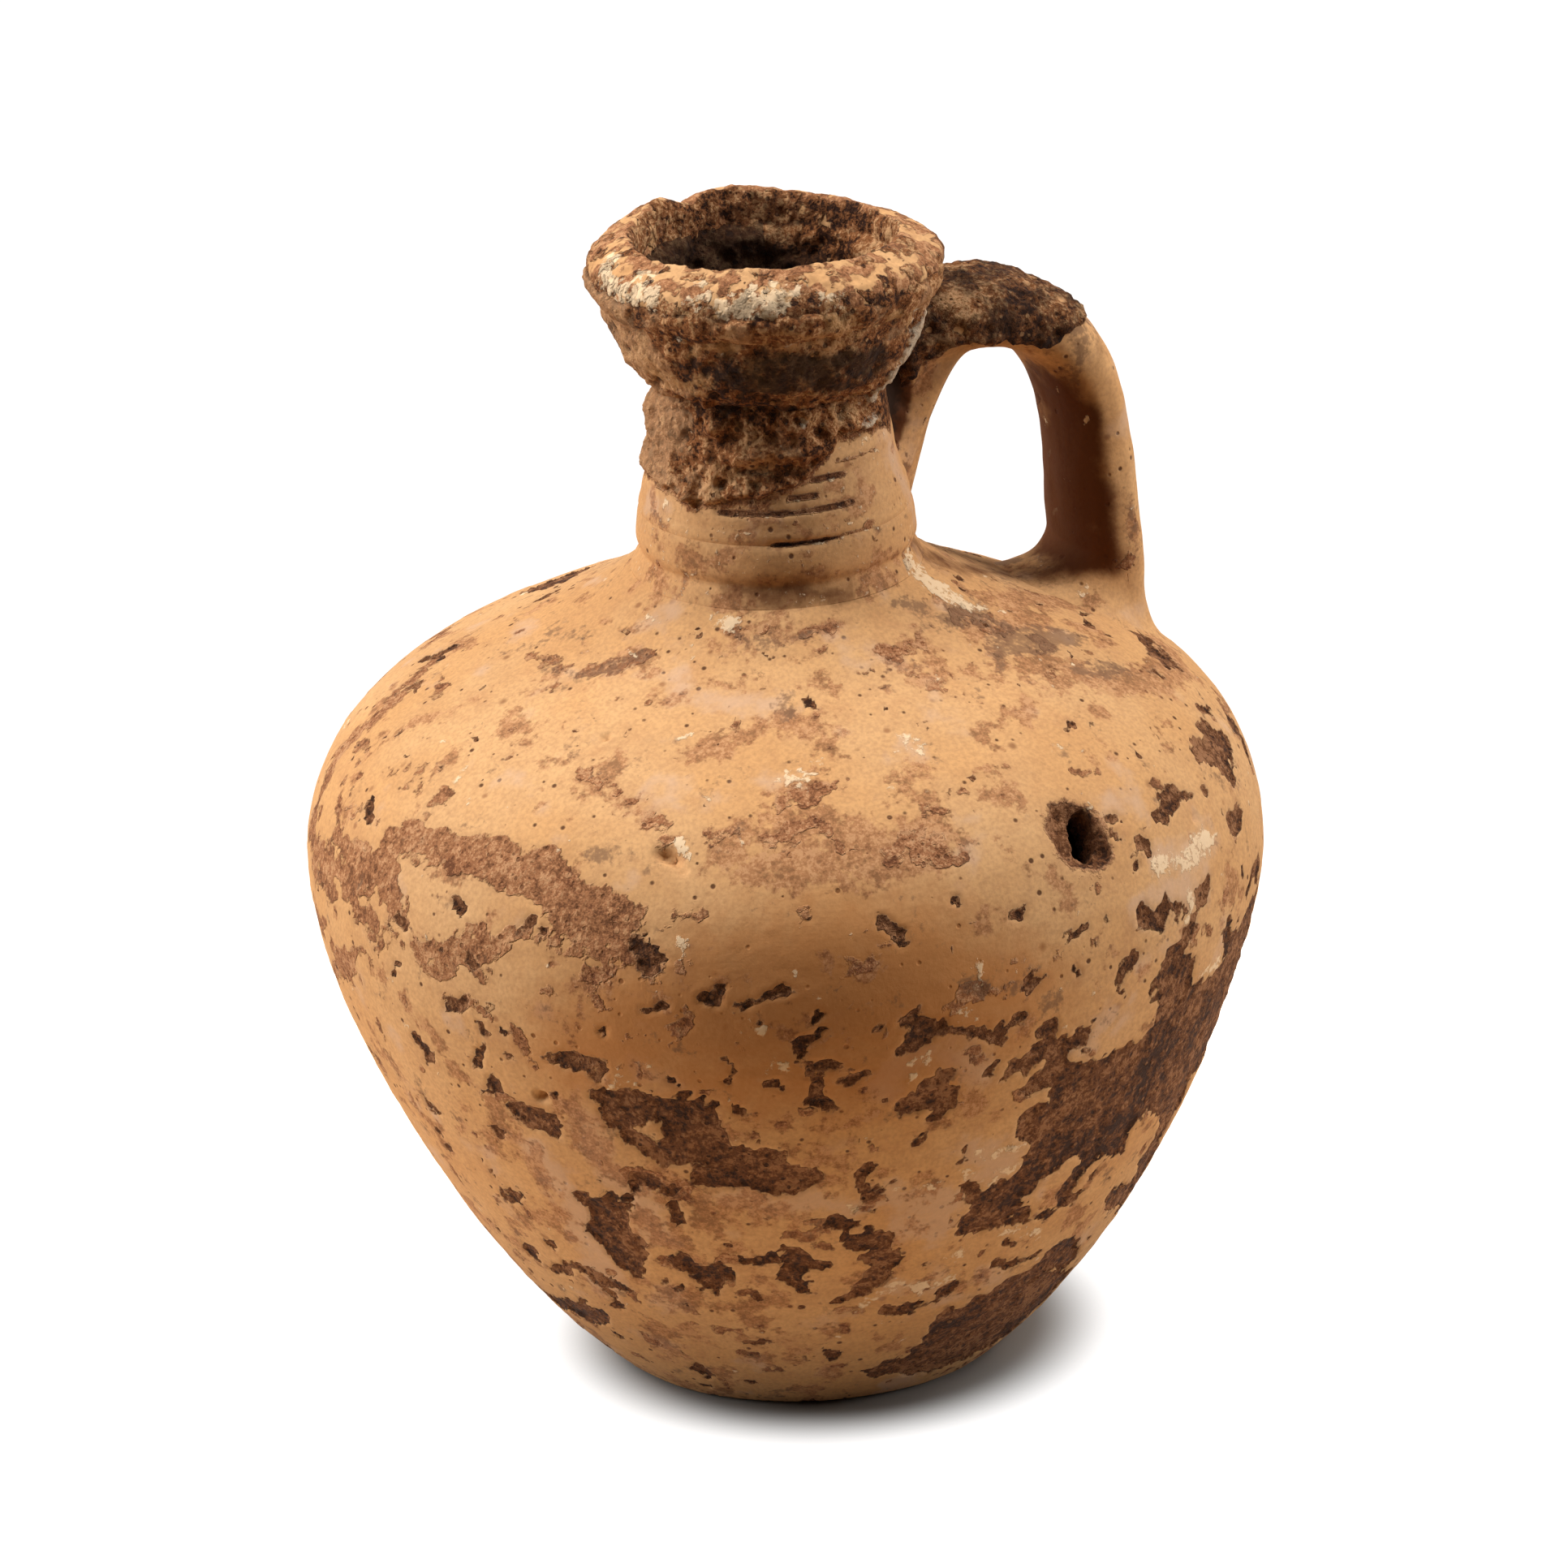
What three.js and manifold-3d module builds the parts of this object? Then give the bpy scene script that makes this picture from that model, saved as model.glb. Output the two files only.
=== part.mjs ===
// Pottery juglet: a squat clay body with a flat base, a narrow ribbed neck, a
// cup-shaped mouth with a thick lip, and one pulled strap handle from the mouth
// to the shoulder. Burial soil has dried hard on the neck, mouth and handle.
// Millimetres. +Z is up, the base stands on Z = 0, the vessel turns about Z and
// the handle lies on +X.
import * as THREE from "three";
import { mergeVertices } from "three/addons/utils/BufferGeometryUtils.js";
import manifoldModule from "manifold-3d";

const wasm = await manifoldModule();
wasm.setup();

const v2 = (r, z) => new THREE.Vector2(r, z);
const rad = THREE.MathUtils.degToRad;

// Every thrown ring has the same number of sides, so rings meet face to face.
const SIDES = 40;
// Clear space left between clay and whatever is pressed or dried onto it.
const GAP = 0.3;

// Body
const BASE_FLAT_RADIUS = 24;
const FOOT_RADIUS = 27;
const FOOT_ROUND = 1;
const FLOOR_THICKNESS = 6;
const FLOOR_RADIUS = 21.5;
const BELLY_RADIUS = 60.9;
const BELLY_HEIGHT = 67;
const WALL = 5;
const CAVITY_RADIUS = BELLY_RADIUS - WALL;
const SHOULDER_TOP = v2(18.2, 105.4);
const CAVITY_TOP = v2(13.2, 101.5);

// Neck, mouth and lip
const COLLAR_CREASE = v2(17.3, 107.9);
const COLLAR_TOP = v2(16.5, 113.2);
const NECK_TOP = v2(14.4, 130.6);
const BORE_RADIUS = 10.8;
const MOUTH_TOP = v2(20.4, 141.8);
const MOUTH_INNER_TOP = v2(15.9, 142.6);
const LIP_TOP = v2(19.2, 148.6);

// Handle
const STRAP_WIDTH = 17;
const STRAP_THICKNESS_TOP = 8.5;
const STRAP_THICKNESS_FOOT = 9.4;
const STRAP_SQUARENESS = 2.5;
const STRAP_SECTION_POINTS = 20;

// Puncture in the shoulder, where the wall was broken through
const PUNCTURE_AZIMUTH = rad(-75.6);
const PUNCTURE_HEIGHT = 83;
const PUNCTURE_HALF_WIDTH = 2.1;
const PUNCTURE_HALF_HEIGHT = 3.3;
const CHIP_HALF_WIDTH = 4.4;
const CHIP_HALF_HEIGHT = 5.2;
const CHIP_DEPTH = 2.2;

const bezier = (a, b, c, d, count) => new THREE.CubicBezierCurve(a, b, c, d).getPoints(count);
const arch = (a, b, c, count) => new THREE.QuadraticBezierCurve(a, b, c).getPoints(count);

// The outer face of the body, from the base's rounded edge to the neck.
const footEdge = arch(
  v2(BASE_FLAT_RADIUS, 0),
  v2(FOOT_RADIUS - FOOT_ROUND / 2, 0),
  v2(FOOT_RADIUS, FOOT_ROUND),
  3,
);
const bellyOuter = bezier(
  v2(FOOT_RADIUS, FOOT_ROUND),
  v2(45, 16.6),
  v2(BELLY_RADIUS, 52.3),
  v2(BELLY_RADIUS, BELLY_HEIGHT),
  14,
);
const shoulderOuter = bezier(
  v2(BELLY_RADIUS, BELLY_HEIGHT),
  v2(BELLY_RADIUS, 92.8),
  v2(34.9, 92.1),
  SHOULDER_TOP,
  12,
);

// The inner face of the body, one wall behind it.
const bellyInner = bezier(
  v2(FLOOR_RADIUS, FLOOR_THICKNESS),
  v2(40.5, 18.5),
  v2(CAVITY_RADIUS, 52.3),
  v2(CAVITY_RADIUS, BELLY_HEIGHT),
  9,
);
const shoulderInner = bezier(
  v2(CAVITY_RADIUS, BELLY_HEIGHT),
  v2(CAVITY_RADIUS, 88.5),
  v2(33, 87.2),
  CAVITY_TOP,
  8,
);

// Where one ring of clay was set on the next.
const BASE_SEAM = 1;
const BELLY_SEAM = 12;
const BELLY_INNER_SEAM = 7;

// The neck: a rounded collar at its foot, two turned grooves and a slight taper.
const collarOuter = [SHOULDER_TOP, ...arch(COLLAR_CREASE, v2(18.4, 110.6), COLLAR_TOP, 4)];
const neckOuter = [
  ...arch(COLLAR_TOP, v2(17.1, 115.2), v2(16.3, 117.4), 3),
  ...arch(v2(16.3, 117.4), v2(14.8, 121.5), NECK_TOP, 4).slice(1),
];
const mouthOuter = bezier(NECK_TOP, v2(17, 133), v2(20, 135), MOUTH_TOP, 7);
const lipOuter = bezier(MOUTH_TOP, v2(22.6, 142.8), v2(22.6, LIP_TOP.y), LIP_TOP, 7);
const lipInner = bezier(LIP_TOP, v2(16.9, LIP_TOP.y), v2(16, 147), MOUTH_INNER_TOP, 5);
const collarInner = [CAVITY_TOP, v2(BORE_RADIUS, 105.2), v2(BORE_RADIUS, COLLAR_TOP.y)];
const neckInner = [v2(BORE_RADIUS, COLLAR_TOP.y), v2(BORE_RADIUS, 129)];
const mouthInner = bezier(
  v2(BORE_RADIUS, 129),
  v2(BORE_RADIUS, 134.5),
  v2(15.7, 135.5),
  MOUTH_INNER_TOP,
  5,
);

// The whole outer face of the vessel, used to fit what is pressed onto it.
const outerFace = [
  ...bellyOuter,
  ...shoulderOuter.slice(1),
  ...collarOuter.slice(1),
  ...neckOuter.slice(1),
  ...mouthOuter.slice(1),
  ...lipOuter.slice(1),
];

// Closed, outward-facing geometry with no loose or empty triangles.
function closed(geometry) {
  const bare = geometry.index ? geometry : geometry.clone();
  bare.deleteAttribute("normal");
  bare.deleteAttribute("uv");
  const welded = mergeVertices(bare, 1e-4);
  const position = welded.attributes.position;
  const source = welded.index.array;
  const kept = [];
  let volume = 0;
  const [a, b, c] = [new THREE.Vector3(), new THREE.Vector3(), new THREE.Vector3()];
  for (let i = 0; i < source.length; i += 3) {
    const [p, q, s] = [source[i], source[i + 1], source[i + 2]];
    if (p === q || q === s || s === p) continue;
    kept.push(p, q, s);
    a.fromBufferAttribute(position, p);
    b.fromBufferAttribute(position, q);
    c.fromBufferAttribute(position, s);
    volume += a.dot(b.cross(c)) / 6;
  }
  if (volume < 0) {
    for (let i = 0; i < kept.length; i += 3) {
      [kept[i + 1], kept[i + 2]] = [kept[i + 2], kept[i + 1]];
    }
  }
  welded.setIndex(kept);
  return welded;
}

// A ring of clay turned on the wheel, from its outer and inner face.
function thrown(outer, inner) {
  const loop = [...outer, ...[...inner].reverse(), outer[0]];
  const geometry = new THREE.LatheGeometry(loop, SIDES);
  geometry.rotateX(Math.PI / 2);
  return closed(geometry);
}

// A body through a row of matching closed sections.
function lofted(sections) {
  const around = sections[0].length;
  const points = sections.flat();
  const index = [];
  for (let row = 0; row + 1 < sections.length; row += 1) {
    for (let i = 0; i < around; i += 1) {
      const j = (i + 1) % around;
      const [a, b] = [row * around + i, row * around + j];
      index.push(a, b, b + around, a, b + around, a + around);
    }
  }
  const ends = [sections[0], sections[sections.length - 1]];
  ends.forEach((ring, end) => {
    const middle = points.length;
    const first = end === 0 ? 0 : (sections.length - 1) * around;
    const centre = new THREE.Vector3();
    ring.forEach((p) => centre.addScaledVector(p, 1 / around));
    points.push(centre);
    for (let i = 0; i < around; i += 1) {
      const [a, b] = [first + i, first + ((i + 1) % around)];
      index.push(...(end === 0 ? [middle, b, a] : [middle, a, b]));
    }
  });
  const geometry = new THREE.BufferGeometry().setFromPoints(points);
  geometry.setIndex(index);
  return closed(geometry);
}

// A dried layer between two matching sheets of points.
function layer(outside, inside) {
  const [rows, columns] = [outside.length, outside[0].length];
  const points = [...outside.flat(), ...inside.flat()];
  const back = rows * columns;
  const index = [];
  const quad = (a, b, c, d) => index.push(a, b, c, a, c, d);
  for (let i = 0; i + 1 < rows; i += 1) {
    for (let j = 0; j + 1 < columns; j += 1) {
      const a = i * columns + j;
      quad(a, a + 1, a + columns + 1, a + columns);
      quad(back + a, back + a + columns, back + a + columns + 1, back + a + 1);
    }
  }
  const rim = [];
  for (let j = 0; j + 1 < columns; j += 1) rim.push(j);
  for (let i = 0; i + 1 < rows; i += 1) rim.push(i * columns + columns - 1);
  for (let j = columns - 1; j > 0; j -= 1) rim.push((rows - 1) * columns + j);
  for (let i = rows - 1; i > 0; i -= 1) rim.push(i * columns);
  rim.forEach((a, k) => {
    const b = rim[(k + 1) % rim.length];
    quad(b, a, back + a, back + b);
  });
  const geometry = new THREE.BufferGeometry().setFromPoints(points);
  geometry.setIndex(index);
  return closed(geometry);
}

function toSolid(geometry) {
  const mesh = new wasm.Mesh({
    numProp: 3,
    vertProperties: Float32Array.from(geometry.attributes.position.array),
    triVerts: Uint32Array.from(geometry.index.array),
  });
  mesh.merge();
  return new wasm.Manifold(mesh);
}

function toGeometry(solid) {
  const mesh = solid.getMesh();
  const geometry = new THREE.BufferGeometry();
  geometry.setAttribute("position", new THREE.BufferAttribute(mesh.vertProperties, 3));
  geometry.setIndex(Array.from(mesh.triVerts));
  return closed(geometry);
}

const cut = (geometry, tool) => toGeometry(toSolid(geometry).subtract(toSolid(tool)));

// The outer face's radius at a height.
function faceRadius(z) {
  for (let i = 0; i + 1 < outerFace.length; i += 1) {
    const [a, b] = [outerFace[i], outerFace[i + 1]];
    if (z >= a.y && z <= b.y) return THREE.MathUtils.mapLinear(z, a.y, b.y, a.x, b.x);
  }
  return outerFace[outerFace.length - 1].x;
}

// The inner face's radius at a height, from the bore up to the lip.
const innerFace = [...neckInner, ...mouthInner.slice(1), ...[...lipInner].reverse().slice(1)];
function boreRadius(z) {
  for (let i = 0; i + 1 < innerFace.length; i += 1) {
    const [a, b] = [innerFace[i], innerFace[i + 1]];
    if (z >= a.y && z <= b.y) return THREE.MathUtils.mapLinear(z, a.y, b.y, a.x, b.x);
  }
  return BORE_RADIUS;
}

const around = (azimuth, r, z) =>
  new THREE.Vector3(r * Math.cos(azimuth), r * Math.sin(azimuth), z);

// The handle's centre line: out from the mouth, over the arch and down to the shoulder.
const handleLine = new THREE.CurvePath();
handleLine.add(new THREE.CubicBezierCurve(v2(17, 133.2), v2(30, 135.2), v2(41, 132.6), v2(43.9, 119.5)));
handleLine.add(new THREE.CubicBezierCurve(v2(43.9, 119.5), v2(45.3, 112.5), v2(45.1, 102), v2(46.6, 91)));
const STRAP_START = 0.145;
const STRAP_END = 0.85;
const STRAP_STATIONS = 22;

// Unit rounded strap section: x across the strap, y through it.
function strapSection(count) {
  const power = 2 / STRAP_SQUARENESS;
  return Array.from({ length: count }, (_, i) => {
    const a = (i / count) * Math.PI * 2;
    const [c, s] = [Math.cos(a), Math.sin(a)];
    return v2(Math.sign(c) * Math.abs(c) ** power, Math.sign(s) * Math.abs(s) ** power);
  });
}
const section = strapSection(STRAP_SECTION_POINTS);

// One section of the handle at a share of its length, swollen by an amount all round.
function strapRing(t, swell) {
  const middle = handleLine.getPointAt(t);
  const along = handleLine.getTangentAt(t);
  const out = v2(-along.y, along.x);
  const across = STRAP_WIDTH / 2 + swell;
  const through = THREE.MathUtils.lerp(STRAP_THICKNESS_TOP, STRAP_THICKNESS_FOOT, t) / 2 + swell;
  return section.map((p) => new THREE.Vector3(
    middle.x + out.x * p.y * through,
    p.x * across,
    middle.y + out.y * p.y * through,
  ));
}

const strapRings = Array.from({ length: STRAP_STATIONS + 1 }, (_, i) =>
  strapRing(THREE.MathUtils.lerp(STRAP_START, STRAP_END, i / STRAP_STATIONS), 0));

// A root of the handle: the strap's end section spread out, between an inner
// and an outer line, until it runs into the wall.
function rootRings(endRing, innerLine, outerLine, widths, count) {
  const quarter = STRAP_SECTION_POINTS / 4;
  const outerEnd = endRing[quarter];
  const innerEnd = endRing[3 * quarter];
  const inner = new THREE.CubicBezierCurve(v2(innerEnd.x, innerEnd.z), ...innerLine);
  const outer = new THREE.CubicBezierCurve(v2(outerEnd.x, outerEnd.z), ...outerLine);
  const wide = new THREE.CubicBezierCurve(v2(0, STRAP_WIDTH / 2), ...widths);
  return Array.from({ length: count + 1 }, (_, k) => {
    if (k === 0) return endRing;
    const [p, q] = [inner.getPoint(k / count), outer.getPoint(k / count)];
    const half = wide.getPoint(k / count).y;
    return section.map((s) => new THREE.Vector3(
      THREE.MathUtils.lerp(p.x, q.x, (s.y + 1) / 2),
      s.x * half,
      THREE.MathUtils.lerp(p.y, q.y, (s.y + 1) / 2),
    ));
  });
}

// The vessel's outer face, filled in and grown by the gap.
const grownFace = outerFace.map((p) => v2(p.x + GAP, p.y));
grownFace.unshift(v2(0, grownFace[0].y));
grownFace.push(v2(0, LIP_TOP.y));
const grownLathe = new THREE.LatheGeometry([...grownFace, grownFace[0]], SIDES);
grownLathe.rotateX(Math.PI / 2);
const grownVessel = closed(grownLathe);

const upperRoot = rootRings(
  strapRings[0],
  [v2(21.9, 128.2), v2(18.9, 123.4), v2(16.7, 110.2)],
  [v2(20, 138.4), v2(16, 138.8), v2(12, 138)],
  [v2(0.3, 8.6), v2(0.7, 9.6), v2(1, 10.4)],
  8,
);
const lowerRoot = rootRings(
  [...strapRings[STRAP_STATIONS]].map((p) => p.clone()),
  [v2(39.9, 98.4), v2(38, 96.7), v2(29, 95)],
  [v2(49.9, 97.5), v2(49.7, 92.2), v2(52.6, 87)],
  [v2(0.3, 8.6), v2(0.7, 10), v2(1, 12.6)],
  8,
);

// The puncture: an oval hole square through the sloping wall, with a chipped mouth outside it.
const punctureFace = faceRadius(PUNCTURE_HEIGHT);
const punctureTilt = Math.atan(faceRadius(PUNCTURE_HEIGHT - 0.5) - faceRadius(PUNCTURE_HEIGHT + 0.5));
function ovalTool(outside, inside, halfWidth, halfHeight, from, to) {
  const tool = new THREE.CylinderGeometry(outside, inside, to - from, 18);
  tool.translate(0, (from + to) / 2, 0);
  tool.rotateZ(-Math.PI / 2);
  tool.scale(1, halfWidth, halfHeight);
  tool.rotateY(-punctureTilt);
  tool.translate(punctureFace, 0, PUNCTURE_HEIGHT);
  tool.rotateZ(PUNCTURE_AZIMUTH);
  return closed(tool);
}
const punctureHole = ovalTool(1.05, 0.95, PUNCTURE_HALF_WIDTH, PUNCTURE_HALF_HEIGHT, -9, 3);
const punctureChip = ovalTool(1.7, 0.5, CHIP_HALF_WIDTH, CHIP_HALF_HEIGHT, -CHIP_DEPTH, CHIP_DEPTH);

// Soil dried on the outside of the neck and mouth, open where the handle is.
const CRUST_OPENING = rad(45);
const CRUST_COLUMNS = 31;
const CRUST_ROWS = 9;
const CRUST_TOP = 141.2;
const CRUST_THICKNESS = 0.9;
const CRUST_MEAN_FOOT = 119.5;
const CRUST_FOOT_SWING = 3;
const crustFoot = (azimuth) =>
  CRUST_MEAN_FOOT
  + CRUST_FOOT_SWING * Math.cos(azimuth + rad(75))
  + 0.8 * Math.sin(5 * azimuth);
function crustSheet(lift) {
  return Array.from({ length: CRUST_ROWS }, (_, i) =>
    Array.from({ length: CRUST_COLUMNS }, (_, j) => {
      const azimuth = THREE.MathUtils.lerp(CRUST_OPENING, 2 * Math.PI - CRUST_OPENING, j / (CRUST_COLUMNS - 1));
      const z = THREE.MathUtils.lerp(crustFoot(azimuth), CRUST_TOP, i / (CRUST_ROWS - 1));
      const swell = 1 + 0.2 * Math.sin(7 * azimuth + z);
      return around(azimuth, faceRadius(z) + GAP + lift * swell, z);
    }));
}

// Soil dried inside the mouth and the top of the bore.
const LINING_FOOT = 119;
const LINING_TOP = 145;
const LINING_THICKNESS = 1.2;
const LINING_ROWS = 10;
function liningFace(inset) {
  return Array.from({ length: LINING_ROWS }, (_, i) => {
    const z = THREE.MathUtils.lerp(LINING_FOOT, LINING_TOP, i / (LINING_ROWS - 1));
    return v2(boreRadius(z) - GAP - inset, z);
  });
}

// Soil dried over the arch of the handle.
const ARCH_CRUST_START = 0.155;
const ARCH_CRUST_END = 0.375;
const ARCH_CRUST_ROWS = 9;
const ARCH_CRUST_THICKNESS = 0.8;
function archSheet(swell) {
  return Array.from({ length: ARCH_CRUST_ROWS }, (_, i) => {
    const t = THREE.MathUtils.lerp(ARCH_CRUST_START, ARCH_CRUST_END, i / (ARCH_CRUST_ROWS - 1));
    return strapRing(t, swell).slice(0, STRAP_SECTION_POINTS / 2 + 1);
  });
}

const CLAY = { color: 0xc98f55, roughness: 0.85 };
const SOIL = { color: 0x5b3a24, roughness: 1 };

function piece(name, geometry, look) {
  geometry.computeVertexNormals();
  const mesh = new THREE.Mesh(geometry, new THREE.MeshStandardMaterial(look));
  mesh.name = name;
  return mesh;
}

const baseOuter = [v2(0, 0), ...footEdge, ...bellyOuter.slice(1, BASE_SEAM + 1)];
const baseInner = [v2(0, FLOOR_THICKNESS), bellyInner[0]];
const lowerOuter = bellyOuter.slice(BASE_SEAM, BELLY_SEAM + 1);
const lowerInner = bellyInner.slice(0, BELLY_INNER_SEAM + 1);
const upperOuter = [...bellyOuter.slice(BELLY_SEAM), ...shoulderOuter.slice(1)];
const upperInner = [...bellyInner.slice(BELLY_INNER_SEAM), ...shoulderInner.slice(1)];

const shoulder = cut(cut(thrown(upperOuter, upperInner), punctureHole), punctureChip);

const juglet = new THREE.Group();
juglet.name = "juglet";
juglet.add(
  piece("base_disc", thrown(baseOuter, baseInner), CLAY),
  piece("lower_wall", thrown(lowerOuter, lowerInner), CLAY),
  piece("shoulder_wall", shoulder, CLAY),
  piece("neck_collar", thrown(collarOuter, collarInner), CLAY),
  piece("neck_tube", thrown(neckOuter, neckInner), CLAY),
  piece("mouth_cup", thrown(mouthOuter, mouthInner), CLAY),
  piece("lip_ring", thrown(lipOuter, [...lipInner].reverse()), CLAY),
  piece("handle_strap", lofted(strapRings), CLAY),
  piece("handle_upper_root", cut(lofted(upperRoot), grownVessel), CLAY),
  piece("handle_lower_root", cut(lofted(lowerRoot), grownVessel), CLAY),
  piece("neck_soil_crust", layer(crustSheet(CRUST_THICKNESS), crustSheet(0)), SOIL),
  piece("mouth_soil_lining", thrown(liningFace(0), liningFace(LINING_THICKNESS)), SOIL),
  piece("handle_soil_crust", layer(archSheet(GAP + ARCH_CRUST_THICKNESS), archSheet(GAP)), SOIL),
);

export default juglet;
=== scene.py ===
"""Looks of a worn pottery juglet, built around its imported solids.

Lengths are in millimetres until a mesh is made, and +X points to the handle.
An "azimuth" in the lists of wear is in degrees to the right of the side that faces the viewer.
"""
import math

import bmesh
import bpy
import numpy as np
from mathutils import Matrix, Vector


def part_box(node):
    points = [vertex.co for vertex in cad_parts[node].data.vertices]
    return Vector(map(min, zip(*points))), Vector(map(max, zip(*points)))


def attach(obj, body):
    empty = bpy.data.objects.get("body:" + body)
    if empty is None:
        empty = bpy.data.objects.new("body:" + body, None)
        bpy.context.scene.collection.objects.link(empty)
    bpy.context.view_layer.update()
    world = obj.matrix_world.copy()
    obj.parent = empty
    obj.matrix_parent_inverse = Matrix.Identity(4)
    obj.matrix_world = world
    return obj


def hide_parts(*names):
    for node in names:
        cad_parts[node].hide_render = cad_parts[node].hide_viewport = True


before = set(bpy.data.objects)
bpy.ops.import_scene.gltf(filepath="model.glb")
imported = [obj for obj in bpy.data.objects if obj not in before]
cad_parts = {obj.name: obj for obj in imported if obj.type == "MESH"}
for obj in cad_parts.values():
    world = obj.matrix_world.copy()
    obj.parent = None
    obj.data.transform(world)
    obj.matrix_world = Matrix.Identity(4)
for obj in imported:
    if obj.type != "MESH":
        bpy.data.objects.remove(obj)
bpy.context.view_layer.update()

MM = 0.001

# The viewer stands at this azimuth, measured from the handle's +X.
FRONT = math.radians(-116.0)
VIEW_RIGHT = np.array([-math.sin(FRONT), math.cos(FRONT), 0.0])

# Spacing of the mesh points on each kind of surface.
BODY_STEP = 0.5
BODY_COLUMNS = 640
NECK_STEP = 0.34
NECK_COLUMNS = 420
INSIDE_STEP = 6.0
HANDLE_STEP = 0.36
HANDLE_AROUND = 132


# Profile of the turned wall as (radius, height), the same curves as the solids.
def curve(controls, count=80):
    """Points along a Bezier curve with any number of controls."""
    share = np.linspace(0.0, 1.0, count)[:, None]
    level = [np.array(point, float)[None, :] + 0.0 * share for point in controls]
    while len(level) > 1:
        level = [a + (b - a) * share for a, b in zip(level, level[1:])]
    return level[0]


def joined(*runs):
    """One line from several that follow on from each other."""
    kept = [runs[0]]
    for run in runs[1:]:
        kept.append(run[1:])
    return np.concatenate(kept)


def respaced(line, step):
    """The same line with points an even step apart, ends kept."""
    along = np.concatenate([[0.0], np.cumsum(np.linalg.norm(np.diff(line, axis=0), axis=1))])
    count = max(2, int(round(along[-1] / step)) + 1)
    places = np.linspace(0.0, along[-1], count)
    return np.stack([np.interp(places, along, line[:, k]) for k in range(line.shape[1])], axis=1)


def rising_part(line, low, high):
    """The part of a rising line between two heights, with exact ends."""
    inside = line[(line[:, 1] > low + 1e-6) & (line[:, 1] < high - 1e-6)]
    ends = [[np.interp(z, line[:, 1], line[:, 0]), z] for z in (low, high)]
    return np.concatenate([[ends[0]], inside, [ends[1]]])


BASE_FLAT = 24.0
FOOT = (27.0, 1.0)
BELLY = (60.9, 67.0)
SHOULDER_TOP = (18.2, 105.4)
COLLAR_CREASE = (17.3, 107.9)
COLLAR_TOP = (16.5, 113.2)
NECK_WAIST = (16.3, 117.4)
NECK_TOP = (14.4, 130.6)
MOUTH_TOP = (20.4, 141.8)
LIP_FOOT_INSIDE = (15.9, 142.6)
FLOOR_EDGE = (21.5, 6.0)
BELLY_INSIDE = (55.9, 67.0)
CAVITY_TOP = (13.2, 101.5)
BORE = 10.8
BORE_TOP = 129.0

foot_face = curve([(BASE_FLAT, 0.0), (26.5, 0.0), FOOT], 8)
belly_face = curve([FOOT, (45.0, 16.6), (60.9, 52.3), BELLY])
shoulder_face = curve([BELLY, (60.9, 92.8), (34.9, 92.1), SHOULDER_TOP])
collar_face = joined(
    curve([SHOULDER_TOP, COLLAR_CREASE], 8),
    curve([COLLAR_CREASE, (18.4, 110.6), COLLAR_TOP], 30),
)
neck_face = joined(
    curve([COLLAR_TOP, (17.1, 115.2), NECK_WAIST], 30),
    curve([NECK_WAIST, (14.8, 121.5), NECK_TOP], 50),
)
mouth_face = curve([NECK_TOP, (17.0, 133.0), (20.0, 135.0), MOUTH_TOP], 60)
wall_face = joined(belly_face, shoulder_face, collar_face, neck_face, mouth_face)
# The lip is worn to a slope that falls outward from its inner edge to a crest.
LIP_CREST = (22.2, 145.3)
LIP_INNER_EDGE = (17.6, 148.3)
lip_outside = joined(
    curve([MOUTH_TOP, (21.6, 142.6), (22.4, 143.8), LIP_CREST], 30),
    curve([LIP_CREST, (22.0, 146.5), (20.6, 146.9), LIP_INNER_EDGE], 30),
)
lip_worn = joined(lip_outside, curve([LIP_INNER_EDGE, (16.3, 148.9), (16.0, 147.0), LIP_FOOT_INSIDE], 30))
outer_face = joined(wall_face, lip_outside)
belly_inside = curve([FLOOR_EDGE, (40.5, 18.5), (55.9, 52.3), BELLY_INSIDE])
shoulder_inside = curve([BELLY_INSIDE, (55.9, 88.5), (33.0, 87.2), CAVITY_TOP])
collar_inside = curve([CAVITY_TOP, (BORE, 105.2), (BORE, COLLAR_TOP[1])], 20)
mouth_inside = curve([(BORE, BORE_TOP), (BORE, 134.5), (15.7, 135.5), LIP_FOOT_INSIDE], 40)
wall_inside = joined(
    belly_inside, shoulder_inside, collar_inside,
    curve([(BORE, COLLAR_TOP[1]), (BORE, BORE_TOP)], 10), mouth_inside,
)


def wall_radius(height):
    """Radius of the outer wall at a height."""
    return np.interp(height, outer_face[:, 1], outer_face[:, 0])


def shoulder_height(radius):
    """Height of the shoulder's outer wall at a radius."""
    return np.interp(radius, shoulder_face[::-1, 0], shoulder_face[::-1, 1])


SLOPE_REACH = 0.3


def wall_normal(height):
    """Outward normal of the outer wall as (radial, upward) at a height."""
    high = wall_radius(height + SLOPE_REACH)
    low = wall_radius(height - SLOPE_REACH)
    slope = (high - low) / (2.0 * SLOPE_REACH)
    length = np.sqrt(1.0 + slope * slope)
    return 1.0 / length, -slope / length


def on_wall(azimuth, height):
    """A point of the outer wall from the viewer's azimuth in degrees and a height."""
    angle = np.radians(azimuth) + FRONT
    radius = wall_radius(height)
    return np.stack([radius * np.cos(angle), radius * np.sin(angle), height + 0.0 * angle], axis=-1)


def half_turn(degrees):
    """An angle brought to between -180 and 180 degrees."""
    return (degrees + 180.0) % 360.0 - 180.0


def azimuth_of(points):
    """The viewer's azimuth in degrees, from -180 to 180."""
    return half_turn(np.degrees(np.arctan2(points[..., 1], points[..., 0]) - FRONT))


# Seeded noise, the same on every run.
FLAKE_PULL = 0.6


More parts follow.
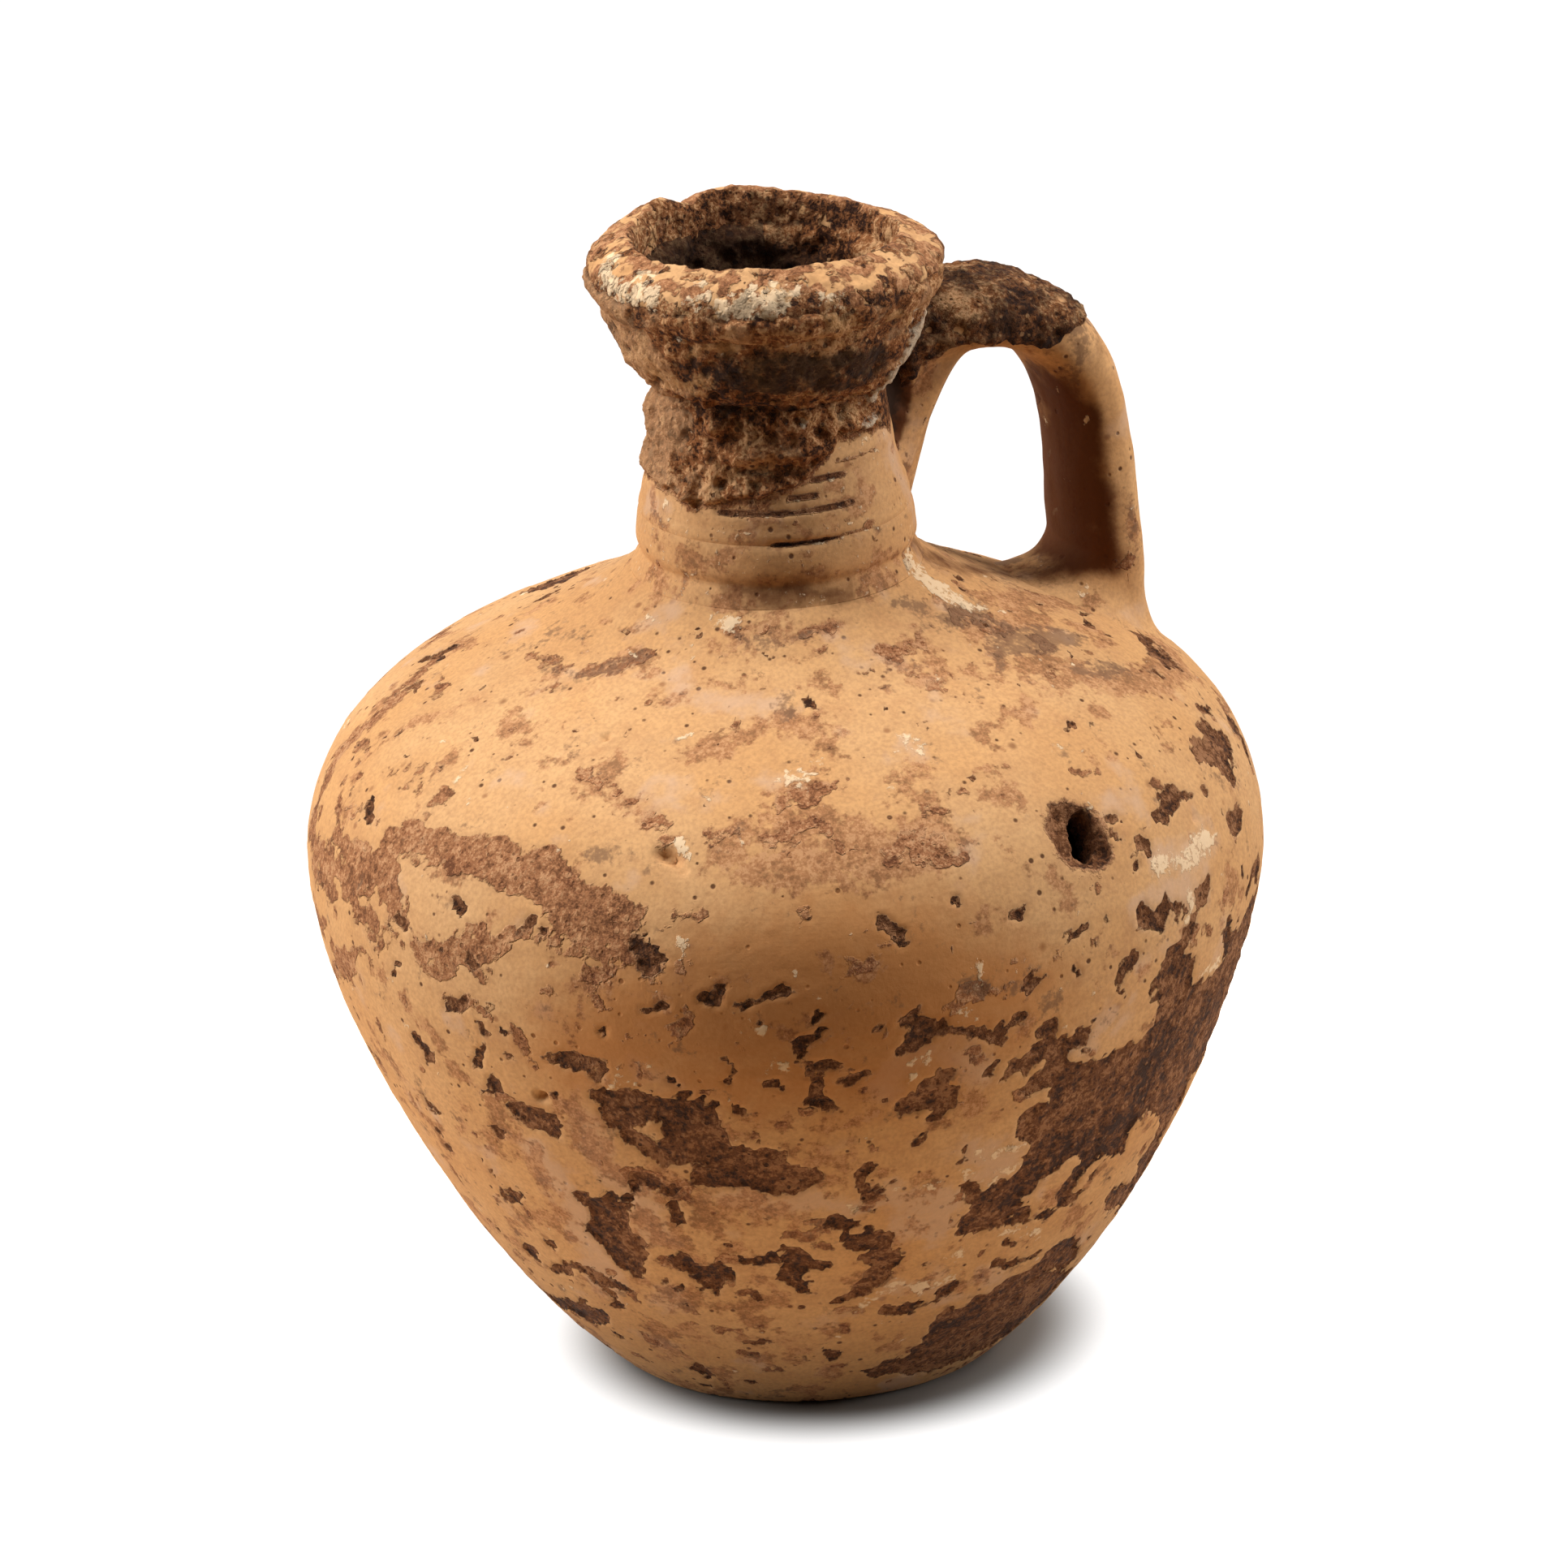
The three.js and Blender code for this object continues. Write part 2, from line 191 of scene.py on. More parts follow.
def scrambled(cells, seed):
    """A repeatable whole number for each cell of a grid."""
    cells = cells.astype(np.uint64)
    n = cells[..., 0] * np.uint64(73856093)
    n ^= cells[..., 1] * np.uint64(19349663)
    n ^= cells[..., 2] * np.uint64(83492791)
    n ^= np.uint64(seed * 668265263)
    n &= np.uint64(0xFFFFFFFF)
    for shift, factor in ((15, 2246822519), (13, 3266489917)):
        n = ((n ^ (n >> np.uint64(shift))) * np.uint64(factor)) & np.uint64(0xFFFFFFFF)
    return n ^ (n >> np.uint64(16))


def fraction(numbers, shift):
    """Eight bits of a scrambled number as -1 to 1."""
    return ((numbers >> np.uint64(shift)) & np.uint64(255)).astype(float) / 127.5 - 1.0


def clouds(points, size, seed):
    """Smooth noise of about -1 to 1 whose lumps are about size across."""
    place = points / size
    cell = np.floor(place).astype(np.int64)
    inside = place - cell
    ease = inside * inside * inside * (inside * (inside * 6.0 - 15.0) + 10.0)
    total = np.zeros(points.shape[:-1])
    for corner in range(8):
        step = np.array([corner & 1, (corner >> 1) & 1, (corner >> 2) & 1])
        numbers = scrambled(cell + step, seed)
        away = inside - step
        lean_x = fraction(numbers, 0) * away[..., 0]
        lean_y = fraction(numbers, 8) * away[..., 1]
        lean_z = fraction(numbers, 16) * away[..., 2]
        weight = np.prod(np.where(step == 1, ease, 1.0 - ease), axis=-1)
        total += weight * (lean_x + lean_y + lean_z)
    return total * 1.6


def rough(points, size, octaves, seed):
    """Clouds with finer clouds on top, each half as large and half as strong."""
    total = np.zeros(points.shape[:-1])
    for octave in range(octaves):
        total += clouds(points, size / 2.0 ** octave, seed + octave) / 2.0 ** octave
    return total


def nearest_grain(points, size, seed):
    """Way to the nearest of scattered grains, as a share of the grains' spacing."""
    place = points / size
    cell = np.floor(place).astype(np.int64)
    inside = place - cell
    nearest = np.full(points.shape[:-1], 9.0)
    way = np.zeros(points.shape)
    for number in range(27):
        step = np.array([number % 3, number // 3 % 3, number // 9]) - 1
        numbers = scrambled(cell + step, seed)
        spot = np.stack([0.5 + 0.45 * fraction(numbers, 8 * axis) for axis in range(3)], axis=-1)
        gap = step + spot - inside
        length = np.sum(gap * gap, axis=-1)
        closer = length < nearest
        nearest = np.where(closer, length, nearest)
        way = np.where(closer[..., None], gap, way)
    return way


def grains(points, size, seed):
    """Distance to the nearest of scattered grains, as a share of their spacing."""
    return np.linalg.norm(nearest_grain(points, size, seed), axis=-1)


def flaked(points, size, seed):
    """Points drawn most of the way to the nearest grain, which gives outlines a flaky edge."""
    return points + FLAKE_PULL * size * nearest_grain(points, size, seed)


def crumbs(points, seed):
    """Relief of crumbly soil in mm: grains of two sizes with open pits among them."""
    coarse = 0.55 - grains(points, 2.0, seed)
    small = 0.55 - grains(points, 1.0, seed + 1)
    pits = eased(0.44, 0.14, grains(points, 2.8, seed + 2))
    tiny = 0.55 - grains(points, 0.62, seed + 3)
    return 0.44 * coarse + 0.40 * small + 0.22 * tiny - 0.60 * pits


def eased(low, high, value):
    """0 below low, 1 above high, smooth between; low may be the larger one."""
    share = np.clip((value - low) / (high - low), 0.0, 1.0)
    return share * share * (3.0 - 2.0 * share)


def bell(value, middle, width):
    """A smooth bump of height 1."""
    return np.exp(-((value - middle) / width) ** 2)


# Wear on the wall: strokes of (azimuth, height, half-width).
SLIP_LOST = [
    # the large spall on the right and the lobes around it
    [(36, 52, 3.6), (42, 50, 4.8), (50, 50, 5.5), (60, 50, 7), (70, 48, 8), (80, 47, 8), (90, 47, 6)],
    [(31.5, 47, 2.8), (36, 46, 5), (44, 45, 5.5), (54, 46, 5.5), (62, 45, 6)],
    [(33, 41.5, 2.8), (38, 41.5, 2.8), (43, 41, 3), (49, 41.5, 3.2)],
    [(31, 38.5, 2), (36, 38.3, 1.8)],
    [(22.5, 39.5, 0.7), (24, 37.5, 1.2), (26, 36.5, 2.2), (29.5, 37, 2.4), (31.5, 39, 1.6)],
    [(26, 33.5, 2.6), (30, 33, 2.8), (32, 32, 1.8)],
    [(32.5, 36.5, 1.4), (34.5, 37.6, 1.2), (36.8, 37.2, 1)],
    [(44, 39, 2), (42.5, 36.5, 1.3), (41.5, 34, 1.6), (42, 31.8, 1.3), (44, 31.8, 1.3)],
    [(47, 39, 2.6), (49, 37, 1.8), (51, 35.8, 0.9)],
    [(34, 30.4, 0.4), (39, 30.5, 0.7)],
    [(60.5, 42, 2.4), (64, 40, 3), (68, 38, 3), (64, 35.5, 2.5), (66, 30, 2.5), (70, 26, 3)],
    [(53.5, 28.5, 0.8), (57, 27.5, 1.7), (61, 26, 2), (66, 24, 2.5), (72, 22, 3)],
    [(24, 56, 0.7), (26, 56.3, 0.9), (28.5, 57.2, 1.1), (31, 58.8, 1.6), (33.5, 58.3, 1.8), (33.5, 55, 2)],
    [(29.5, 61.3, 0.7), (31, 61.8, 1.2), (32, 60.5, 1)],
    [(31, 54, 1.8), (33.5, 53.5, 2)],
    [(35, 59, 0.7), (37, 59, 1.1), (38, 57.5, 0.7)],
    [(50, 61.5, 2), (52, 64.5, 2), (54.2, 66.8, 1.3), (55, 68.5, 0.6)],
    [(52.8, 57, 3), (53, 60, 3.4), (55, 61.5, 2)],
    [(55.5, 60, 1.2), (55.8, 57.5, 1)],
    [(58, 55, 2.5), (64, 55, 2.6), (70, 56, 3), (80, 57, 4)],
    [(64.7, 64, 0.4), (65.3, 62, 0.9), (66.5, 60.2, 1.3), (71, 59.5, 2), (80, 61, 2.5)],
    [(71.5, 65.2, 0.8), (75, 66, 1.2), (78, 65.5, 1.4)],
    # on the shoulder to the right
    [(46.5, 71.5, 0.9), (48.5, 70.8, 1), (51, 71, 1), (53, 70.8, 0.8)],
    [(55.5, 69.5, 0.7), (57.5, 70.7, 1.1), (60, 71.4, 1)],
    [(40.5, 67, 0.5), (42.5, 66, 1.1), (44.5, 66.7, 0.8)],
    [(42.5, 64, 0.9), (42.2, 62.6, 0.7)],
    [(35.5, 73.5, 0.8), (37, 73.6, 0.7)],
    [(40, 73.6, 0.6)],
    [(35.5, 68, 0.7)],
    [(28.5, 68.5, 0.9)],
    [(46, 78.2, 0.5), (47.5, 79.8, 0.8), (50, 79.3, 0.9)],
    [(45.5, 83.3, 0.6), (47.5, 82.5, 0.5)],
    [(55, 81, 0.9), (57, 81.3, 1), (58.3, 83, 1.1), (60.5, 82, 1), (62.5, 81.5, 0.5)],
    [(70, 83, 1.1), (72.5, 83.2, 1.9), (75.5, 82.2, 2.6), (78.5, 82.3, 2.6), (80.5, 82.3, 1.6)],
    [(80.5, 85, 0.6), (83, 84.8, 0.8), (85.5, 85, 0.6)],
    [(66.5, 80.3, 0.6)],
    [(69.8, 75.8, 1.2), (72, 75, 2), (73, 75, 1.4)],
    [(84, 89.7, 0.9), (86, 89.5, 0.6)],
    [(92, 94, 0.7), (97, 93.8, 0.8)],
    [(105, 92.2, 1), (101, 91, 1.4), (97, 90.1, 1.4), (92, 89.5, 1.2), (89, 88.9, 1)],
    [(96, 88.6, 0.9), (92, 87.6, 0.9)],
    [(75, 80.5, 1.7), (77.5, 80, 1.4)],
    [(77, 84.6, 1.6), (79, 84.6, 1.2)],
    [(88, 81.5, 1.4), (90, 79.5, 1.2), (86, 78, 1)],
    # the front, below the belly
    [(-23, 52.5, 2.2), (-18, 54.3, 1.8), (-12.5, 53, 3.4), (-10.5, 50.5, 1.8)],
    [(-25, 56, 1.2), (-22.5, 56, 1.4), (-19, 56.5, 1.3), (-16.5, 55.2, 1)],
    [(-14.5, 56.3, 1), (-12.5, 55.4, 1.2), (-11, 54.6, 0.8)],
    [(-22, 49.8, 1.4), (-17, 48.6, 1.6), (-12, 48.3, 2.4), (-7, 47.3, 2.2), (-3, 46.5, 2.2), (0, 44.5, 2.5)],
    [(-14, 44.5, 1.6), (-10, 44.8, 1.6), (-6, 43.8, 1.8), (-2, 43.2, 1.6)],
    [(-22, 42.4, 1.2), (-18, 42.4, 1.2)],
    [(-37, 50.5, 1.4), (-34.5, 50.5, 2), (-32.5, 49.2, 1.6)],
    [(-39.8, 55.2, 1.1), (-39, 53.8, 0.9)],
    [(-50, 56.5, 1), (-49.5, 55, 1.4), (-51.3, 53.2, 0.8)],
    [(-30.5, 38.5, 1.5), (-27.5, 38, 1.8), (-24.5, 38.8, 0.9)],
    [(-26.5, 40, 1.2), (-24, 40.2, 0.7)],
    [(-28, 36, 2), (-29.5, 33, 2.6), (-28, 31, 2.8), (-28.5, 28, 2.6), (-27, 27, 1.5)],
    [(-17.2, 41, 0.8), (-17, 39.5, 1.1), (-16.3, 37.5, 1.1), (-15.5, 39, 0.7)],
    [(-20, 30.3, 1.1), (-18.5, 28.8, 1.5), (-16, 27.5, 1.3), (-13.5, 27.6, 1.4)],
    [(-16.5, 27, 1.2), (-15.6, 25.2, 1.2), (-16, 23.8, 0.6)],
    [(-9.5, 30.3, 0.6), (-6, 31, 0.9), (-3.5, 31.8, 1.1), (-1.5, 30, 1.5), (-1.2, 28.5, 1.8)],
    [(-1.2, 28.5, 1.8), (0.8, 29, 1.3)],
    [(-1.2, 28.5, 1.8), (-0.5, 26.5, 1.2), (0.2, 24.8, 0.6)],
    [(-46, 34, 0.9), (-45.5, 35.6, 1), (-43.5, 35.7, 0.8)],
    [(-56.5, 38, 0.9)],
    [(-56, 46.3, 0.9), (-55, 46.5, 0.5)],
    [(-44, 28, 0.8), (-42, 28.3, 0.7)],
    [(-51.2, 24.2, 1), (-50.6, 23, 0.9)],
    [(-46, 21.8, 0.9), (-43, 23.8, 1.1), (-40, 24.6, 0.8), (-36, 23.7, 1.3), (-32, 23.2, 1.2)],
    [(-36, 22.4, 0.8), (-34.8, 20, 1), (-37.5, 18.2, 0.7)],
    [(1.5, 60.6, 0.5), (3, 61, 0.7), (5, 61, 0.5)],
    [(5, 60, 0.3), (7, 59.4, 0.5), (8, 59.8, 0.5)],
    [(3.3, 59.5, 0.9), (2.7, 58, 1.1), (2.5, 56.5, 1.3), (3.8, 55.2, 0.9)],
    [(0.7, 64.5, 1), (1, 63, 1), (1.2, 62, 0.6)],
    [(1, 65.4, 0.5), (3, 65.7, 0.5), (4.5, 66.5, 0.5)],
    [(14, 66.5, 0.9), (14.5, 65, 1.4), (14.2, 63.8, 1.4), (13.3, 62.4, 0.8)],
    [(15.5, 65, 0.8), (17.5, 63.8, 0.7), (19.5, 63.2, 0.8), (22, 62.9, 1), (24.5, 62.4, 1.3)],
    [(24.5, 62.4, 1.3), (26, 63.6, 1.2), (26.8, 64.8, 0.7)],
    [(13.5, 55.2, 0.9), (15.5, 56.5, 1.4), (18, 57.8, 1.2), (19.3, 58.3, 0.6)],
    [(13.5, 54.5, 1.2), (16, 54.8, 2), (18.5, 54.8, 1.7), (16.8, 52, 1)],
    [(-28.5, 60.2, 0.7), (-26.5, 60.8, 0.9), (-24.5, 60.3, 1.2), (-24.8, 58.8, 0.8)],
    [(-16, 60, 0.4), (-15, 58.8, 0.6)],
    [(21, 46, 0.7)],
    [(8, 45, 0.9), (7.5, 43.5, 1), (8.5, 41, 0.9)],
    [(10.8, 42.7, 0.6)],
    [(3, 37.2, 0.5), (5, 36.6, 0.9), (7, 36, 1)],
    [(6, 34.2, 1), (8, 33.2, 1.6), (10.3, 33.5, 1.8), (11.5, 32, 1.2), (10.5, 30.5, 1.2)],
    [(9, 30, 1.5), (11.5, 28.5, 2.2), (10.5, 26, 1.8), (8.5, 24.8, 1.5), (6, 23.3, 1), (4.2, 22, 0.7)],
    # around the foot
    [(17, 6.5, 2.2), (20, 7, 2.6), (24, 5.5, 2.2), (34, 5.5, 2.6), (44, 6, 3), (54, 5.5, 2.5)],
    [(22, 11, 1.4), (26, 10, 3.6), (33, 11, 5.5), (40, 11, 6), (48, 12, 6), (56, 11, 5)],
    [(28, 15.5, 2), (36, 16.5, 2.8), (43, 18.5, 2.8), (46, 22, 2), (50, 19.8, 2.8), (54, 18.5, 2.4)],
    [(14, 19, 1.2), (17, 19.2, 1.2)],
    [(18.5, 20.2, 0.7), (21.5, 20.8, 1), (24, 21.5, 1)],
    [(25.5, 16.5, 1.2), (27, 13.5, 2.5), (24, 11.3, 1.5)],
    [(33, 23.7, 0.7), (35.5, 22.8, 0.9), (38.5, 23, 0.7), (40.5, 23.6, 0.7)],
    [(-25.5, 7, 1.5), (-24, 7, 1.2)],
    [(-11, 14.3, 0.6), (-8.5, 14.5, 0.8)],
    [(1.8, 12.2, 0.7), (3.5, 11.8, 0.9), (5, 11, 0.6)],
    [(-62, 12, 2), (-57, 13, 2), (-51, 13.8, 2.2), (-46, 14.3, 2.5), (-42, 15, 1.9)],
    [(-44, 11, 0.7), (-42, 9.6, 0.9)],
    [(-72, 7, 2), (-60, 5, 2)],
    # a crack at the foot of the neck
    [(78, 107.4, 0.45), (80, 105.4, 0.6), (83, 103.6, 0.6), (88, 102.2, 0.4)],
    # small losses higher up
    [(-68, 82.5, 0.8), (-67, 81.5, 0.9)],
    [(-100, 90.6, 0.8), (-99, 92.4, 1)],
    [(-90, 89.5, 0.8), (-88, 90.8, 0.7)],
    [(-18, 76.8, 1), (-16.5, 76.5, 1.2), (-16.5, 74.5, 1.3), (-17.5, 73.8, 0.8)],
    [(-16.8, 70, 0.5), (-15.5, 69.5, 0.7)],
    [(-9.8, 71, 0.7), (-8.6, 70.8, 0.8), (-7.5, 72.3, 0.4)],
    [(-5, 70.6, 0.7), (-3, 71, 0.8), (-1, 71, 0.8), (0.8, 71.6, 0.5)],
    [(-2.3, 76.2, 0.6), (-1, 76.3, 0.8)],
    [(11.5, 79, 0.8), (12.5, 78, 1), (13.2, 76.8, 1)],
    [(21, 78.8, 0.6), (22, 78.7, 0.6)],
    [(3.6, 69.8, 0.5), (4.3, 68.8, 0.9), (3.4, 67.5, 0.6)],
    [(-2.8, 58.7, 0.6)], [(-5.8, 55.7, 0.6)], [(-7, 63, 0.4)], [(-8, 59.2, 0.5)],
    [(-53.5, 73.5, 0.7), (-51.5, 73, 0.7)],
    [(-41, 71.2, 0.7), (-39.5, 71.2, 0.6)],
    [(-34.5, 76.8, 0.5), (-33, 77.5, 0.8), (-31, 76.3, 0.7)],
    [(-44.8, 78, 0.5), (-43.5, 76.8, 0.7), (-42.5, 76.3, 0.5)],
    [(-44.5, 64.3, 0.6), (-43, 65, 0.9), (-41.5, 65.3, 0.8)],
    [(-42.5, 58, 0.7), (-41, 58.8, 0.8), (-39.8, 59.8, 0.6)],
    [(-51, 57, 0.9)], [(-37.5, 65.6, 0.7)], [(-43.5, 61.8, 0.6)], [(-39, 61.8, 0.7)],
]
# Where the slip is scoured through to paler clay.
SLIP_THIN = [
    [(-56, 82.4, 2.4), (-50, 82.5, 2.6), (-45, 82.7, 2.8), (-40, 83, 3.1), (-34, 83.1, 3.2), (-29, 82, 2.6)],
    [(-29, 82, 2.6), (-25, 81, 3), (-21, 79.8, 2.8)],
    [(-29, 79, 1.6), (-25, 78.5, 2.5), (-21, 77.5, 2.8), (-18, 75.5, 2.4), (-16.5, 74, 1.5)],
    [(-40, 75.5, 0.8), (-36, 75.8, 0.9), (-33, 76.8, 1), (-30, 76, 0.9), (-26, 75.5, 1), (-22, 75, 1.2)],
    [(-49, 71, 1.3), (-45, 72, 2), (-41, 72, 2.2), (-38, 73.3, 1.6), (-36, 73.8, 1)],
    [(-50, 70.5, 1), (-43, 70.8, 1.5), (-39, 70.3, 1)],
    [(-47, 68.5, 1.2), (-44, 69, 1)],
    [(-60, 81, 1.8), (-58, 79, 3.3), (-56.5, 77, 3), (-54, 75, 2.3), (-52, 73.6, 1.2)],
    [(-73, 77.2, 1.4), (-66, 77.3, 1.8), (-61, 77, 3)],
    [(-84, 73.5, 2), (-72, 74, 1.8), (-66, 74, 2), (-60, 74.5, 1.5)],
    [(-64.5, 73, 1.6), (-62.5, 71.5, 1.8), (-57, 71, 0.6), (-52, 70.8, 0.5)],
    [(-63, 65, 1.2), (-66, 63.5, 1.6), (-70, 61, 1.7), (-77, 57, 1.5)],
    [(-84, 61.5, 2), (-79, 63.5, 2), (-73, 65.3, 1)],
    [(-80, 70.5, 1.2), (-74, 71.5, 1.2), (-68, 70.8, 1)],
    [(-55.5, 86.3, 0.7), (-54, 87, 0.7)],
    [(-69.5, 86.5, 0.8), (-68.5, 86.5, 0.8)],
    [(-62, 86.8, 0.7), (-61, 86.8, 0.6)],
    [(-70, 87.6, 0.3), (-62.5, 88, 0.3)],
    [(-79, 83.5, 0.8), (-78, 82.3, 0.8)],
    [(-73.5, 83, 0.8), (-72.5, 81, 0.8)],
    [(-83, 85.6, 0.7), (-80.5, 85.9, 0.6)],
    [(-33, 91.8, 0.6), (-30, 91.5, 1.1), (-26, 91, 1), (-24, 90.3, 0.8)],
    [(-20, 88.8, 1.3), (-17, 88.8, 1.2)],
    [(-14.5, 80.1, 0.9), (-13, 80.6, 1.1), (-11.3, 80.2, 0.8)],
    [(0.5, 90.6, 1.4), (3, 91, 1.7), (6, 91.2, 1.3), (8.3, 91.4, 0.6)],
    [(-5, 88, 0.9), (-2, 87.6, 1), (3, 88.6, 1), (7, 87, 0.9)],
    [(13, 85.2, 0.9), (16.5, 87, 1.3), (19, 85.2, 1.6), (21.5, 84, 1.3)],
    [(-11, 88, 0.8), (-9, 88.3, 0.5)],
    [(19, 88.7, 0.5), (22, 88.8, 0.6)],
    [(-44, 65, 1.3), (-41, 65.3, 1)],
    [(6.5, 74.7, 0.5), (8.5, 75, 0.9), (9.8, 75.8, 0.9)],
    [(-40, 52.5, 1), (-36, 51.5, 1.4)],
    [(-23, 44, 1.2), (-19, 43, 2), (-16, 42, 2)],
    [(-24, 70.3, 0.9), (-21.5, 68.8, 0.9)],
    [(-19, 65.2, 0.6), (-16.3, 65.2, 0.6)],
    [(-24, 73, 1.2), (-21, 72.5, 1.1)],
    [(-21.5, 28.8, 1), (-13, 26.6, 1.2)],
    [(-3, 34.5, 0.8), (1, 35, 1.2), (2.5, 33, 0.7)],
    [(-16.5, 17, 0.8), (-13, 17.3, 0.9), (-10, 17.3, 0.7)],
    [(-19.5, 14.8, 0.6)],
    [(87, 81.5, 1.2), (91, 82, 1.3), (96, 82, 1.2)],
    [(5.5, 19.6, 0.25), (6, 16, 0.25)],
    [(-98, 92, 1.4), (-92, 90.4, 1.8), (-88, 88.4, 1.8), (-87, 85.5, 1.6), (-87, 82.5, 1.6),
     (-85, 78.8, 1.5)],
    [(-85, 78.8, 1.5), (-84, 75.2, 1.4)],
    [(-85, 92.4, 0.9), (-80, 92, 0.8)],
    [(-76, 97.2, 0.5), (-66, 97.6, 0.6), (-61, 97.8, 0.8), (-57, 98.1, 1), (-51, 98.5, 1.2),
     (-46, 98.9, 1.2)],
    [(-46, 98.9, 1.2), (-43, 99.7, 1), (-40.5, 100.8, 0.8)],
    [(-15, 103.4, 0.9), (-11, 103.8, 1), (-5, 103.9, 1.1), (0, 104.2, 1.2), (5, 103.8, 1), (10, 103.4, 0.8)],
    [(10, 103.4, 0.8), (17, 103.3, 0.5)],
    [(-44, 104.1, 0.4), (-41, 104, 0.3), (-38, 104.3, 0.6)],
    [(30, 100.9, 0.6), (34, 100.6, 0.9), (38, 100.6, 0.8), (43, 100.6, 0.4)],
    [(32.5, 97.3, 0.8), (36, 97.2, 0.9), (39, 97.4, 0.5)],
    [(-56, 96.8, 0.6), (-56.3, 97.3, 0.4)],
    [(55, 101.2, 0.6), (60, 101.1, 0.7), (65, 100.9, 0.8), (70, 99.9, 1), (75, 99.4, 0.8)],
    [(63, 100, 0.8), (65, 98.8, 0.7), (69, 98.5, 1), (72, 97.8, 1), (73, 96.2, 0.9), (73.5, 95.4, 0.6)],
    [(62, 94.5, 0.4), (65, 94.7, 0.5)],
    [(-29.3, 97.5, 0.6)],
    [(-16.5, 95.6, 0.7)],
    [(22.5, 95.8, 0.5)],
    [(27, 94.8, 0.6)],
    [(21, 99.3, 0.25), (24.8, 99.2, 0.25), (26, 98.4, 0.4)],
    [(31.7, 95.5, 0.5)],
    [(38, 96, 0.5)],
]
# Soft russet stains.
SLIP_STAINED = [
    [(-9, 88, 1.6), (-4, 88.5, 2.6), (2, 88.5, 3.4), (8, 87.3, 3), (15, 86.3, 3), (21, 87, 2.6),
     (24, 85.5, 1.4)],
    [(-3, 91, 1.2), (2, 92, 1.5), (7, 91.5, 1.3)],
    [(-8, 86, 2.2), (0, 85, 2.8), (10, 84.5, 2.6), (20, 84.5, 2)],
    [(17, 89.6, 1.2), (21, 89.6, 1)],
    [(-31, 91.2, 1.7), (-27, 90.8, 1.7), (-23, 89.6, 1.5), (-18, 88.5, 1.5)],
    [(31, 89, 1.4), (33, 88.5, 1.4), (33.5, 90.3, 0.7)],
    [(31, 100.6, 1), (37, 100.8, 1.4), (43, 100.5, 1.2)],
    [(33, 98, 1.5), (37, 97.7, 1.9), (40, 98.5, 1.4)],
    [(-16, 103, 1.2), (-8, 103.5, 1.5), (0, 104, 1.6), (8, 103, 1.3), (18, 103.4, 0.8)],
    [(-22, 101.8, 0.6), (-15, 101.8, 0.7), (-9, 102, 0.6)],
    [(33, 99.4, 1), (38, 99.2, 1.1), (42, 99.4, 0.8)],
    [(31, 98.5, 0.7), (40, 98.2, 0.7)],
    [(-21, 99.3, 0.8), (-15, 99.3, 0.7), (-9, 99, 0.6)],
    [(-48, 100, 1.2), (-43, 100.5, 0.9), (-41, 101, 0.5)],
    [(-46, 98.6, 0.7), (-44, 98.6, 0.7)],
    [(57, 97, 1.8), (62, 96, 2), (67, 95, 2.4), (72, 93, 2)],
    [(60, 99.4, 1.6), (68, 98.5, 2.4), (76, 98, 2.4), (84, 97, 2.5)],
    [(9.5, 95.5, 0.6), (10.5, 94, 0.5)],
    [(6.5, 101, 0.5), (8.5, 101, 0.4)],
    [(9, 100, 0.5), (12, 98, 0.7)],
    [(-38, 47, 1.6), (-37, 43, 2), (-36, 39, 1.6)],
    [(-29, 54, 2), (-28, 50, 2.4), (-26, 46, 2), (-24, 43, 1.5)],
    [(-23, 37, 2), (-22, 33, 2), (-18, 35, 1.5)],
    [(-13, 37, 1.5), (-8, 40, 2), (-3, 39, 2)],
    [(-27, 24, 1.5), (-22, 21, 1.8)],
    [(-7, 27, 1.5), (-4, 22, 1.5)],
    [(-22, 16, 1.5), (-17, 13, 1.2)],
    [(-12, 15.8, 1), (-6, 15, 1), (-5, 11, 1.2)],
    [(-46, 31.5, 1.6), (-40, 33, 2), (-37, 31, 1.5)],
    [(-24, 44, 1.8), (-18, 41, 1.8), (-13, 41.5, 1.4)],
    [(-20, 22.5, 1.8), (-13, 21, 1.6), (-8, 22.5, 1.6), (-5, 24.5, 1)],
    [(-2, 49.5, 1.3), (3, 47.5, 1.8), (6, 47, 1.2)],
    [(2.5, 42, 1.2)],
    [(12, 31.5, 1.2), (14, 33.5, 0.8)],
    [(-42, 91.8, 0.6), (-38, 92, 0.6)],
    [(51.5, 89, 0.5)], [(52.5, 91.5, 0.4)], [(54.5, 88, 0.5)],
    [(58, 94, 1.6), (66, 93.5, 2), (74, 91.5, 2.4), (82, 90, 2.8), (92, 88, 3.2), (100, 88, 3)],
    [(-42, 110.4, 0.9), (-32, 111.2, 1.5), (-24, 112, 1.3), (-14, 113.8, 0.7)],
    [(-62, 114, 0.6), (-56, 113, 1.1), (-53, 111.5, 0.6)],
    [(19, 109.3, 0.6), (22, 109.3, 0.4)],
    [(80, 100.8, 1.5), (92, 97.5, 2.5), (104, 94, 2.5)],
]
